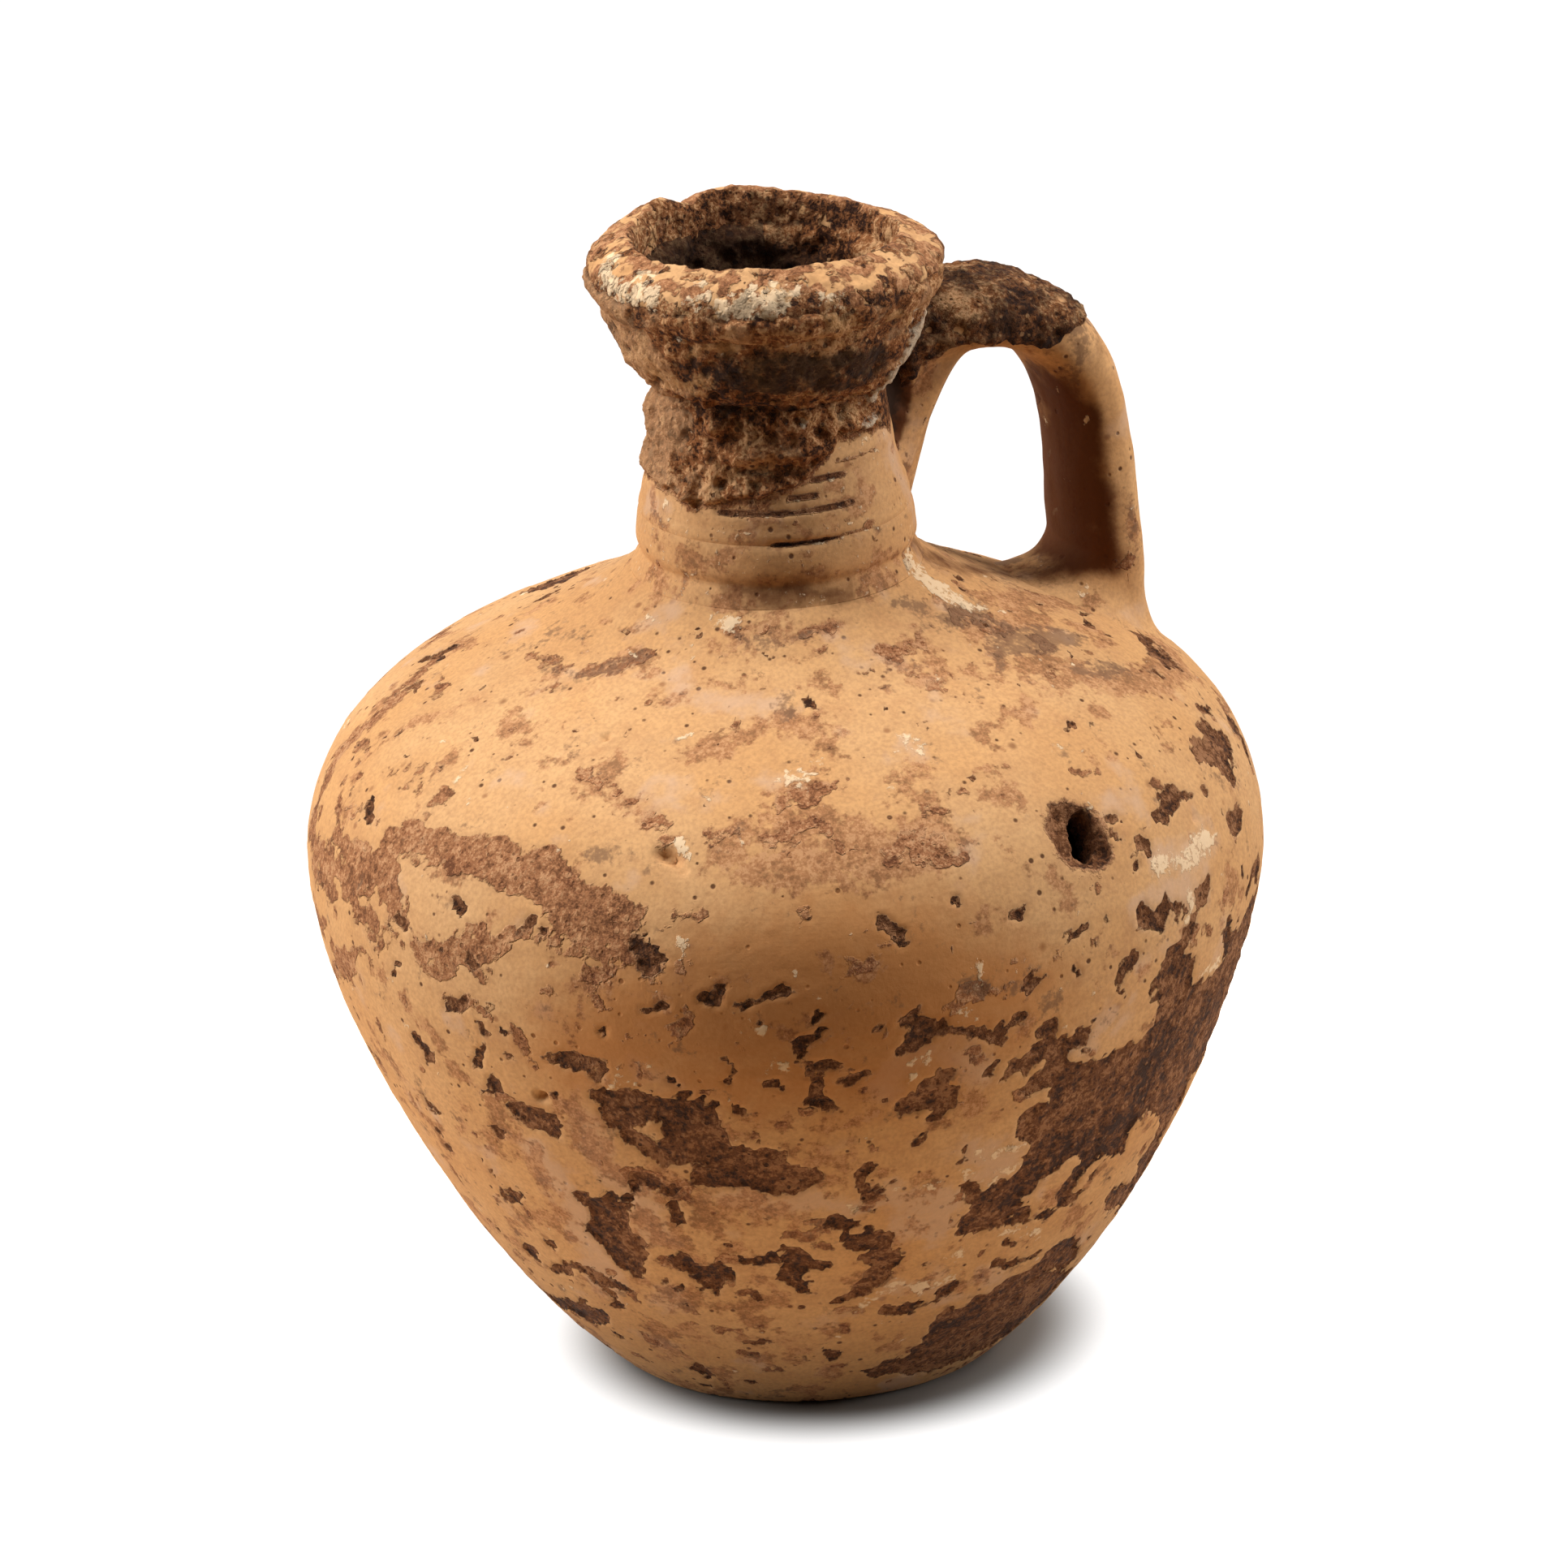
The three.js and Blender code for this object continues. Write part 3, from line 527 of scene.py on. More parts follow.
# A pale bloom of lime thinly spread.
SLIP_BLOOMED = [
    [(70, 123, 1.2), (76, 119, 1.6), (80, 114, 1.2)],
    [(-36, 45, 2.6), (-33, 38, 2.6), (-34, 30, 2.6), (-33, 24, 2.2)],
    [(-28, 53, 2), (-27, 47.5, 2), (-25, 43, 2), (-21, 38, 2.2), (-22, 34, 2.6)],
    [(-24, 22, 2.6)],
    [(-9, 41, 2), (-4, 40.5, 2), (2, 39.5, 2.4), (7, 38.8, 1.8), (13, 40, 1.6)],
    [(12, 41, 2.2), (16, 38, 2.8), (20, 37.5, 2.8), (19, 33, 2.6), (15, 34.5, 2.2)],
    [(22, 46, 2), (25, 44, 2.6), (27, 42, 2.4), (23.5, 41, 1.6)],
    [(10, 57, 1.8), (12, 60, 2), (16, 61, 1.6), (21, 60, 2), (22, 57, 1.6)],
    [(35, 58, 1.4), (39, 57.5, 1.4), (40, 61, 1.4)],
    [(46, 66, 1.4), (48, 67, 1.4), (55, 66.5, 1)],
    [(51, 77.5, 1.6), (56, 76, 2.6), (61, 76, 1.8)],
    [(30, 22.5, 2), (34, 21, 1.6)],
    [(14, 23, 1.8), (20, 23.3, 1.4)],
    [(46, 72.5, 1.6), (55, 73, 2)],
    [(-18, 60.5, 1.2), (-14, 58.5, 1.2)],
    [(21, 94.2, 1), (24, 93, 1)],
    [(-28, 99.5, 1.4), (-24, 98, 1.4), (-2, 97.5, 1.4)],
]
# Slip left standing inside the losses.
SLIP_ISLANDS = [
    [(-18.3, 51.2, 0.7), (-17, 51.8, 1)],
    [(-17.5, 46.3, 0.8)],
    [(53, 56.1, 0.4), (54.2, 56.4, 0.5)],
    [(55, 39.5, 2.2), (54.5, 37, 2.2)],
]
# Grey-brown stains, and painted shade under the handle's foot, where the wall is darker in its shade.
GREY_STAIN_AND_SHADE = [
    [(-65, 97.3, 0.5), (-55, 97.7, 0.6), (-48, 98.5, 0.9), (-42, 100.5, 0.7)],
    # Under the handle: painted shade, partly stain.
    [(56, 97, 1.2), (62, 97.5, 2), (68, 97.5, 2.6), (74, 96.5, 2.6), (82, 95, 2.4)],
    [(58, 101, 1.4), (66, 101, 1.9), (74, 100.4, 2.1)],
    [(62, 100.2, 0.9), (68, 99.4, 1.3), (74, 98.6, 1.2)],
    [(70, 98.2, 1.2), (72.5, 96.4, 1)],
    [(49, 103.4, 1.3), (54, 102.4, 1.3)],
    [(70, 93.5, 1.2), (78, 92, 1.4)],
    [(10, 102.7, 0.4), (-5, 102.7, 0.6), (-13, 102.8, 0.5)],
    [(50, 33, 0.7), (49.5, 32, 0.6)],
    [(40, 59.5, 0.8)],
    [(30.5, 65.3, 0.8), (33, 65.3, 0.7)],
    [(20.5, 70, 0.5), (23.5, 70, 0.5)],
    [(26, 68.7, 0.5), (29.3, 68.7, 0.6)],
    [(0, 97.5, 1), (1, 96.8, 1)],
]
# Painted shade, with some dirt, in the corner at the foot of the neck and on the shoulder beside and under
# the handle, where shade falls.
SHADE_AND_DIRT_STROKES = [
    [(82, 108, 0.9), (88, 106.4, 1.6), (92, 104.8, 1.5), (97, 103.2, 1)],
    [(-24, 107.3, 0.4), (-8, 107.2, 0.9), (8, 107, 1), (20, 106.8, 0.8), (30, 106.6, 0.4)],
    [(88, 105, 0.5), (93, 103.8, 0.8), (98, 102, 0.8), (107, 99.5, 1.2), (116, 96.5, 1.6), (118, 94, 1.6)],
]
# Painted shade with a warm tint of light thrown back, on the slip round the front of the belly.
BELLY_PAINTED_SHADE = [
    [(-26, 62, 7), (-14, 68, 9), (0, 71, 11), (14, 71, 11), (26, 67, 6)],
    [(-12, 60, 6), (4, 60, 6), (16, 60, 5)],
]
# Streaks and specks of lime.
LIME = [
    [(51, 76.5, 0.9), (55, 75.8, 1.2), (59, 75.8, 1.1), (62, 76.5, 0.8)],
    [(54.8, 70.8, 0.9), (54, 69.2, 0.4)],
    [(-23.5, 57.7, 0.7), (-21.5, 58.6, 0.9), (-20.3, 58.2, 0.6)],
    [(-16.3, 61, 0.5)], [(-4.2, 67, 0.5)], [(-2, 61.5, 0.5)], [(4.3, 70.2, 0.4)],
    [(22.3, 72.2, 0.5)], [(20.7, 66, 0.4)], [(15.5, 60.3, 0.5)],
    [(-32, 85.4, 0.4), (-30.6, 85.6, 0.4)],
    [(1, 92.6, 0.4), (4, 92.4, 0.6)],
    [(22, 94.5, 0.4), (23.5, 93.4, 0.5)],
    [(27, 40.3, 0.6), (29, 40.6, 0.5)],
    [(24.6, 38.9, 0.6), (26, 38.6, 0.5)],
    [(13, 41, 0.25), (16, 40.5, 0.4), (19, 40, 0.25)],
    [(6, 39, 0.6)],
    [(10, 42.2, 0.5)],
    [(23, 28, 0.6)],
    [(32, 29.3, 0.5), (34, 29.4, 0.5)],
    [(36.5, 27.7, 0.25), (39, 26.7, 0.4)],
    [(9, 21.3, 0.4), (14, 23.6, 0.8), (19, 22.8, 0.8), (23.5, 23.2, 0.7)],
    [(22.5, 42, 0.5)], [(24, 44.6, 0.5)], [(26.5, 44, 0.5)],
    [(33.2, 60.3, 0.4)],
    [(28.5, 44, 0.5)],
    [(59, 58.4, 0.3), (63.5, 58.9, 0.5)],
    [(-13.5, 76.5, 0.6)],
    [(-14.2, 87.1, 0.7)],
    [(-23, 104, 0.3), (-20, 104.1, 0.4), (-17.5, 103.8, 0.6)],
    [(-47, 103.3, 0.5)],
    [(70, 107.4, 0.6), (70, 105.2, 1.1), (69, 103.2, 1.2), (72, 101.4, 1.0), (76, 100.2, 0.7)],
]
# Pits as (azimuth, height, radius, depth).
PITS = [
    (-32.5, 54.2, 0.9, 1.2),
    (-34.5, 94.5, 0.7, 0.6),
    (-17.0, 86.2, 1.0, 0.6),
    (-15.8, 86.1, 1.2, 1.0),
    (-14.6, 85.7, 1.1, 0.9),
    (-13.6, 84.9, 0.9, 0.5),
    (61.3, 79.0, 0.7, 0.6),
]
# The puncture in the shoulder: half-sizes of the hole and of the chipped funnel around it.
PUNCTURE_AZIMUTH = 40.4
PUNCTURE_HEIGHT = 83.0
HOLE_HALF = (1.55, 3.4)
CHIP_HALF = (4.8, 5.4)
CHIP_DEPTH = 1.8
HOLE_ASIDE = 1.1
HOLE_TURN = math.radians(20.0)
HOLE_HEIGHTS = (74.0, 88.0)
# Bare shares of the chip's way out, and how far the thinned slip around it goes.
CHIP_BARE = 0.90
CHIP_THIN = 0.98
# Azimuths between which the side that faces the viewer gives way to the back, whose wear is noise.
BACK_FROM = 85.0
BACK_TO = 110.0
BACK_PATCH = 15.0
# A field's value well away from any stroke.
FAR = 40.0


def stroke_field(points, strokes):
    """How far each point lies inside the nearest stroke, in mm; negative outside."""
    best = np.full(points.shape[:-1], -FAR)
    for stroke in strokes:
        if len(stroke) == 1:
            stroke = [stroke[0], stroke[0]]
        for first, second in zip(stroke, stroke[1:]):
            a = on_wall(np.array(first[0]), np.array(float(first[1])))
            b = on_wall(np.array(second[0]), np.array(float(second[1])))
            run = b - a
            length = max(float(run @ run), 1e-9)
            share = np.clip(((points - a) @ run) / length, 0.0, 1.0)
            gap = np.linalg.norm(points - (a + share[..., None] * run), axis=-1)
            width = first[2] + share * (second[2] - first[2])
            best = np.maximum(best, width - gap)
    return best


def warped(points, size, reach, seed):
    """Points shifted a little by noise, which makes a smooth outline ragged."""
    shift = [clouds(points, size, seed + k) for k in range(3)]
    return points + reach * np.stack(shift, axis=-1)


def puncture_place(points):
    """Share of the way out from the middle of the puncture, for the hole and for the chip."""
    middle = on_wall(np.array(PUNCTURE_AZIMUTH), np.array(PUNCTURE_HEIGHT))
    angle = math.radians(PUNCTURE_AZIMUTH) + FRONT
    sideways = np.array([-math.sin(angle), math.cos(angle), 0.0])
    radial, upward = wall_normal(PUNCTURE_HEIGHT)
    uphill = np.array([-upward * math.cos(angle), -upward * math.sin(angle), radial])
    across = (points - middle) @ sideways
    along = (points - middle) @ uphill
    facing = (points[..., 0] * math.cos(angle) + points[..., 1] * math.sin(angle)) > 0.0
    aside = across - HOLE_ASIDE
    hole_across = aside * math.cos(HOLE_TURN) - along * math.sin(HOLE_TURN)
    hole_along = along * math.cos(HOLE_TURN) + aside * math.sin(HOLE_TURN)
    hole = np.hypot(hole_across / HOLE_HALF[0], hole_along / HOLE_HALF[1])
    chip = np.hypot(across / CHIP_HALF[0], along / CHIP_HALF[1])
    return np.where(facing, hole, FAR), np.where(facing, chip, FAR)


def wall_wear(points):
    """Fields of wear at points of the outer wall, in mm inside each kind of patch."""
    ragged = flaked(warped(warped(points, 6.0, 1.4, 11), 2.2, 0.7, 21), 1.3, 25)
    fine = 0.55 * rough(points, 2.2, 3, 31)
    z = points[..., 2]
    back = eased(BACK_FROM, BACK_TO, np.abs(azimuth_of(points)))
    neck = eased(103.0, 106.0, z)
    low = eased(76.0, 66.0, z)
    hidden = FAR * (1.0 - back)
    flakes = flaked(points, 1.1, 26)
    lost = np.minimum(stroke_field(ragged, SLIP_LOST) + 0.15, -stroke_field(ragged, SLIP_ISLANDS))
    behind = 9.0 * (rough(ragged, BACK_PATCH, 3, 41) - 0.42) - hidden
    flecks = 2.2 * (rough(flakes, 3.2, 2, 51) - 0.92 + 0.17 * low)
    lost = np.maximum(np.maximum(lost, behind), flecks) + fine - 4.0 * neck
    thin = np.minimum(stroke_field(ragged, SLIP_THIN), 1.0)
    thin_back = 9.0 * (rough(ragged, 13.0, 3, 61) - 0.5) - hidden
    thin_flecks = 2.5 * (rough(flakes, 4.5, 3, 71) - 0.88 + 0.12 * low)
    thin = np.maximum(np.maximum(thin, thin_back), thin_flecks) + 1.8 * fine - 3.0 * neck
    stained = np.minimum(stroke_field(ragged, SLIP_STAINED), 1.1)
    mottled = 0.20 * eased(62.0, 48.0, z) + 0.12 * eased(86.0, 92.0, z)
    stain_clouds = 4.0 * (rough(points, 7.0, 5, 76) - 0.62 + mottled)
    stained = np.maximum(stained, stain_clouds) + 2.6 * fine
    bloom = np.maximum(stroke_field(ragged, SLIP_BLOOMED), 4.0 * (rough(points, 8.0, 4, 78) - 0.75))
    grey_stain_and_shade = np.minimum(stroke_field(ragged, GREY_STAIN_AND_SHADE), 0.8)
    grey_stain_and_shade = np.maximum(grey_stain_and_shade, 2.0 * (rough(points, 6.0, 3, 81) - 0.9))
    lime = np.minimum(stroke_field(ragged, LIME) + 0.25, 0.5)
    lime = np.maximum(lime, 2.5 * (rough(points, 3.0, 3, 91) - 1.08))
    lime = lime - 2.0 * eased(-0.6, 0.2, lost)
    # Among these, the corner and handle strokes, the grey strokes under the handle and the tone round the
    # belly's front carry painted shade.
    return {
        "lost": lost, "thin": thin, "stained": stained, "bloom": bloom + 1.2 * fine,
        "grey_stain_and_shade": grey_stain_and_shade + fine, "lime": lime + fine, "painted_shade_and_dirt": stroke_field(ragged, SHADE_AND_DIRT_STROKES),
        "belly_painted_shade": stroke_field(points, BELLY_PAINTED_SHADE) + 3.0 * fine,
    }


def wall_relief(points, wear):
    """How far the real surface stands off the smooth wall, in mm."""
    lost = wear["lost"]
    thin = wear["thin"]
    lime = wear["lime"]
    bare = eased(-0.05, 0.35, lost)
    high = -0.30 * bare * (1.0 + 0.25 * clouds(points, 7.0, 101))
    high += bare * (0.18 * clouds(points, 1.9, 111) + 0.13 * clouds(points, 1.1, 112))
    high -= 0.14 * eased(0.0, 0.8, thin) * (1.0 - bare)
    high += eased(0.0, 0.6, thin) * (1.0 - bare) * 0.07 * clouds(points, 1.4, 113)
    high += 0.05 * bell(lost, -0.5, 0.4)
    high += 0.11 * clouds(points, 15.0, 121) + 0.05 * clouds(points, 5.0, 122)
    turned = points * np.array([0.07, 0.07, 1.0])
    high += (0.05 + 0.04 * eased(80.0, 90.0, points[..., 2])) * clouds(turned, 2.6, 131)
    high += 0.10 * eased(0.0, 0.5, lime) * (0.6 + 0.6 * clouds(points, 1.0, 132))
    for azimuth, height, radius, depth in PITS:
        middle = on_wall(np.array(azimuth), np.array(height))
        gap = np.linalg.norm(points - middle, axis=-1)
        high -= depth * eased(radius * 1.15, radius * 0.45, gap)
    return high


NECK_FILLET = 0.3
NECK_FILLET_HEIGHT = 105.2


def filleted(points):
    """The corner between shoulder and neck, wiped round with a finger."""
    radius = np.hypot(points[..., 0], points[..., 1])
    grown = 1.0 + NECK_FILLET * bell(points[..., 2], NECK_FILLET_HEIGHT, 2.0) / np.maximum(radius, 1.0)
    return points * np.stack([grown, grown, np.ones_like(grown)], axis=-1)


# How far the vessel's middle stands to the viewer's right, by height.
LEAN_HEIGHTS = [0.0, 20.0, 45.0, 72.0, 95.0, 108.0, 120.0, 150.0]
LEAN_SHIFT = [0.3, 0.35, 0.0, -0.33, 0.0, 0.3, 0.25, 0.2]


def leaning(points):
    """The vessel wasn't thrown quite true, so its middle wanders a little with height."""
    shift = np.interp(points[..., 2], LEAN_HEIGHTS, LEAN_SHIFT)
    return points + shift[..., None] * VIEW_RIGHT


# Meshes from grids of points.
def grid_faces(rows, columns, wrap_rows, wrap_columns):
    """Quads of a grid, and the corner numbers that lay its texture map out."""
    row = np.arange(rows if wrap_rows else rows - 1)
    column = np.arange(columns if wrap_columns else columns - 1)
    i, j = np.meshgrid(row, column, indexing="ij")
    i = i.ravel()
    j = j.ravel()
    next_i = (i + 1) % rows
    next_j = (j + 1) % columns
    quads = np.stack(
        [i * columns + j, i * columns + next_j, next_i * columns + next_j, next_i * columns + j], axis=1
    )
    corner_rows = np.stack([i, i, i + 1, i + 1], axis=1)
    corner_columns = np.stack([j, j + 1, j + 1, j], axis=1)
    return quads, corner_rows, corner_columns


def make_piece(name, points, quads, fans, quad_map, fields, sharp, finish):
    """A mesh object from points in mm, quads, fans of triangles, a texture map and named fields."""
    mesh = bpy.data.meshes.new(name)
    mesh.vertices.add(len(points))
    mesh.vertices.foreach_set("co", (points * MM).astype(np.float32).ravel())
    corners = np.concatenate([quads.ravel(), fans.ravel()])
    mesh.loops.add(len(corners))
    mesh.loops.foreach_set("vertex_index", corners.astype(np.int32))
    starts = np.concatenate([np.arange(len(quads)) * 4, 4 * len(quads) + np.arange(len(fans)) * 3])
    mesh.polygons.add(len(starts))
    mesh.polygons.foreach_set("loop_start", starts.astype(np.int32))
    mesh.polygons.foreach_set("use_smooth", np.ones(len(starts), bool))
    mesh.update(calc_edges=True)
    layer = mesh.uv_layers.new(name="OFBake")
    spread = np.zeros((len(corners), 2), np.float32)
    spread[: quads.size] = quad_map.reshape(-1, 2)
    layer.data.foreach_set("uv", spread.ravel())
    for field, values in fields.items():
        attribute = mesh.attributes.new(field, "FLOAT", "POINT")
        attribute.data.foreach_set("value", values.astype(np.float32).ravel())
    if sharp is not None:
        ends = np.zeros(len(mesh.edges) * 2, np.int32)
        mesh.edges.foreach_get("vertices", ends)
        ends = ends.reshape(-1, 2)
        edge = mesh.attributes.new("sharp_edge", "BOOLEAN", "EDGE")
        edge.data.foreach_set("value", sharp[ends[:, 0]] & sharp[ends[:, 1]])
    mesh.validate()
    mesh.materials.append(finish)
    piece = bpy.data.objects.new(name, mesh)
    bpy.context.scene.collection.objects.link(piece)
    return piece


def dress(piece, node):
    """Ties a piece to the frame in place of a solid."""
    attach(piece, "root")
    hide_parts(node)


def line_normals(line):
    """Normals of a profile line, to the right of the way it runs."""
    ahead = np.gradient(line, axis=0)
    ahead /= np.linalg.norm(ahead, axis=1)[:, None]
    return np.stack([ahead[:, 1], -ahead[:, 0]], axis=1)


def all_round(columns):
    """Even angles once round the axis."""
    return np.arange(columns) * (2.0 * math.pi / columns)


def turned_points(line, angles):
    """Points and normals of a profile line turned about the axis: rows, columns, xyz."""
    side = np.stack([np.cos(angles), np.sin(angles)], axis=1)
    normal = line_normals(line)
    points = np.zeros((len(line), len(angles), 3))
    normals = np.zeros((len(line), len(angles), 3))
    points[..., :2] = line[:, None, :1] * side[None]
    points[..., 2] = line[:, None, 1]
    normals[..., :2] = normal[:, None, :1] * side[None]
    normals[..., 2] = normal[:, None, 1]
    return points, normals


# Margin and span of a texture map, and how much of it the unseen inside gets.
MAP_EDGE = 0.01
MAP_SPAN = 0.98
INNER_SHARE = 0.12


def row_shares(lengths):
    """Texture map rows from the length each row of faces takes."""
    edges = np.concatenate([[0.0], np.cumsum(lengths)])
    return MAP_EDGE + MAP_SPAN * edges / edges[-1]


WEAR_FIELDS = ("lost", "thin", "stained", "bloom", "grey_stain_and_shade", "lime", "soil", "painted_shade_and_dirt", "belly_painted_shade", "crack_and_painted_shade")


def thrown_piece(name, outer, inner, columns, shape, finish, poles=False):
    """A ring of clay: an outer line from below up, an inner line from above down.

    shape(points, normals) returns the real outer points and the fields of wear there.
    """
    outside, normals = turned_points(outer, all_round(columns))
    inside, _ = turned_points(inner, all_round(columns))
    real, fields = shape(outside, normals)
    points = leaning(np.concatenate([real, inside]))
    rows = len(points)
    quads, corner_rows, corner_columns = grid_faces(rows, columns, not poles, True)
    line = np.concatenate([outer, inner])
    lengths = np.linalg.norm(np.roll(line, -1, axis=0) - line, axis=1)
    lengths[len(outer) - 1:] *= INNER_SHARE
    shares = row_shares(lengths)
    quad_map = np.stack([MAP_EDGE + MAP_SPAN * corner_columns / columns, shares[corner_rows]], axis=-1)
    flat = points.reshape(-1, 3)
    fans = np.zeros((0, 3), int)
    extra = 0
    if poles:
        around = np.arange(columns)
        ahead = (around + 1) % columns
        last = (rows - 1) * columns
        flat = np.concatenate([flat, [[0.0, 0.0, outer[0, 1]], [0.0, 0.0, inner[-1, 1]]]])
        below = np.stack([ahead, around, np.full(columns, len(flat) - 2)], axis=1)
        above = np.stack([last + around, last + ahead, np.full(columns, len(flat) - 1)], axis=1)
        fans = np.concatenate([below, above])
        extra = 2
    named = {}
    for field in WEAR_FIELDS:
        values = fields.get(field, np.full(outside.shape[:2], -FAR))
        rest = np.full(inside.shape[:2], 2.0 if field == "lost" else -FAR)
        named[field] = np.concatenate([values.ravel(), rest.ravel(), np.full(extra, rest[0, 0])])
    sharp = np.zeros(len(flat), bool)
    for row in (0, len(outer) - 1):
        if not (poles and row == 0):
            sharp[row * columns: (row + 1) * columns] = True
    return make_piece(name, flat, quads, fans, quad_map, named, sharp, finish)


def body_shape(points, normals):
    """The worn outer wall of the body."""
    wear = wall_wear(points)
    high = wall_relief(points, wear)
    _, chip = puncture_place(points)
    chip = chip + 0.16 * clouds(points, 2.6, 141) + 0.08 * clouds(points, 1.2, 142)
    funnel = eased(1.0, 0.55, chip)
    high -= CHIP_DEPTH * funnel * (1.0 + 0.2 * clouds(points, 1.6, 143))
    wear["lost"] = np.maximum(wear["lost"], 4.0 * (CHIP_BARE - chip))
    wear["thin"] = np.maximum(wear["thin"], 4.0 * (CHIP_THIN - chip))
    return filleted(points + normals * high[..., None]), wear


def break_through(piece):
    """Breaks the puncture through a wall and lines the hole with its own faces."""
    work = bmesh.new()
    work.from_mesh(piece.data)
    centres = np.array([face.calc_center_median() for face in work.faces]) / MM
    hole = puncture_place(centres)[0]
    gone = [face for face, share in zip(work.faces, hole) if share < 1.0]
    bmesh.ops.delete(work, geom=gone, context="FACES")
    rims = [edge for edge in work.edges if edge.is_boundary]
    rim_points = list({point for edge in rims for point in edge.verts})
    for _ in range(3):
        bmesh.ops.smooth_vert(
            work, verts=rim_points, factor=0.5, use_axis_x=True, use_axis_y=True, use_axis_z=True
        )
    lining = bmesh.ops.bridge_loops(work, edges=rims)["faces"]
    layer = work.loops.layers.uv["OFBake"]
    for number, face in enumerate(lining):
        face.smooth = True
        for corner, loop in enumerate(face.loops):
            along = (number + (corner > 1)) / len(lining)
            loop[layer].uv = (MAP_EDGE + MAP_SPAN * along, 0.993 + 0.005 * (corner in (1, 2)))
    bmesh.ops.recalc_face_normals(work, faces=lining)
    work.to_mesh(piece.data)
    work.free()


# Dried burial soil on the neck: height of its lower edge by azimuth.
SOIL_EDGE_AZIMUTH = [-200, -75, -55, -42, -25, -5, 5, 15, 20, 28, 33, 45, 60, 75]
SOIL_EDGE_HEIGHT = [119, 118.5, 118.7, 117, 118.5, 118.8, 119.5, 121, 122.5, 124, 126, 125.5, 125, 124]


def soil_edge(turn):
    """Height of the soil's lower edge at a viewer's azimuth."""
    return np.interp(turn, SOIL_EDGE_AZIMUTH, SOIL_EDGE_HEIGHT)


# Lines scored round the neck as (height, first azimuth, last azimuth, depth).
NECK_LINES = [
    (117.3, -26.0, 38.0, 0.44),
    (113.3, -2.0, 29.0, 0.60),
    (113.6, 28.0, 44.0, 0.18),
    (119.0, 6.0, 20.0, 0.34),
    (120.9, 17.0, 36.0, 0.28),
    (115.2, -70.0, 70.0, 0.05),
    (122.6, 30.0, 60.0, 0.10),
]


def neck_shape(points, normals):
    """The turned neck: wheel lines, broken scored lines and a film of soil under the crust."""
    turn = azimuth_of(points)
    z = points[..., 2]
    wear = wall_wear(points)
    high = 0.12 * clouds(points, 9.0, 151) + 0.05 * clouds(points, 2.5, 152)
    turned = points * np.array([0.06, 0.06, 1.0])
    high += 0.09 * clouds(turned, 1.7, 153)
    high += (0.38 + 0.25 * eased(20.0, 45.0, np.abs(turn))) * bell(z, COLLAR_TOP[1], 1.4)
    wander = 0.25 * clouds(points, 14.0, 154)
    broken = eased(-0.30, 0.15, clouds(points, 3.2, 155))
    dashes = eased(0.05, 0.35, clouds(points, 1.8, 159))
    scored = np.zeros(z.shape)
    chalked = np.zeros(z.shape)
    for height, first, last, depth in NECK_LINES:
        reach = eased(first - 3.0, first + 3.0, turn) * eased(last + 3.0, last - 3.0, turn)
        line = bell(z, height + wander, 0.34) * reach * (0.62 + 0.38 * broken)
        high -= depth * line
        scored = np.maximum(scored, line * min(1.0, depth / 0.28))
        chalked = np.maximum(chalked, bell(z, height + wander - 0.40, 0.22) * reach * dashes)
    high -= 0.12 * bell(z, 107.9 + wander, 0.8)
    above = z - soil_edge(turn) + 0.9 * clouds(points, 2.2, 156)
    film = np.maximum(above + 0.5, 2.2 * scored - 0.6)
    film = np.maximum(film, 2.2 * (rough(points, 3.0, 3, 157) - 0.85))
    wear["thin"] = np.maximum(wear["thin"], film)
    wear["lost"] = np.maximum(wear["lost"], 1.9 * scored - 0.85)
    wear["lime"] = np.maximum(wear["lime"], 1.4 * chalked - 0.9)
    wear["soil"] = above
    return filleted(points + normals * high[..., None]), wear


def mouth_shape(points, normals):
    """The cup of the mouth under its crust."""
    high = 0.2 * clouds(points, 6.0, 161) - 0.1
    real = points + normals * high[..., None]
    everywhere = np.ones(points.shape[:2])
    turn = azimuth_of(points)
    # Beside the handle's upper root the cup is painted dark as shade in the crevice between cup and root, in
    # place of soil.
    beside_root = eased(58.0, 66.0, turn) * eased(100.0, 92.0, turn)
    beside_root *= eased(140.0, 134.0, points[..., 2])
    return real, {
        "soil": 2.0 - 4.0 * beside_root, "painted_shade_and_dirt": 8.0 * beside_root - 5.0,
        "lost": everywhere, "thin": everywhere,
    }


# Wear of the lip's height as (azimuth, half-width in degrees, rise).
LIP_WEAR = [
    (150.0, 34.0, -0.5), (112.0, 22.0, -0.2), (-146.0, 7.0, -1.1), (-128.0, 9.0, 0.8), (-172.0, 38.0, 0.9),
    (-150.0, 24.0, 0.5), (-95.0, 30.0, 0.6), (0.0, 60.0, 1.2),
]
# Lime left on the lip's slope and crest.
LIP_LIME = [
    [(-72, 146.6, 0.8), (-66, 146.1, 1), (-58, 145.6, 0.9), (-54, 145.3, 0.6)],
    [(-76, 147.2, 0.6), (-70, 147.3, 0.6)],
    [(-52, 146.4, 1), (-46, 146.2, 1.2), (-41, 145.9, 1.1), (-37, 145.2, 0.5)],
    [(-50, 147.3, 0.6), (-45, 147.5, 0.5)],
    [(-50, 145.0, 0.5), (-42, 144.7, 0.5)],
    [(-26, 147.3, 0.4), (-22, 147.4, 0.4)],
    [(-24, 145.9, 0.5), (-14, 145.9, 0.7), (-6, 146, 0.8), (2, 146.1, 0.9), (9, 146.4, 0.7),
     (13, 146.9, 0.3)],
    [(-8, 146.7, 0.4), (3, 147, 0.4)],
    [(-16, 145.2, 0.3), (-4, 145.2, 0.4), (4, 145.4, 0.3)],
    [(18, 146.2, 0.3), (24, 145.9, 0.3)],
]


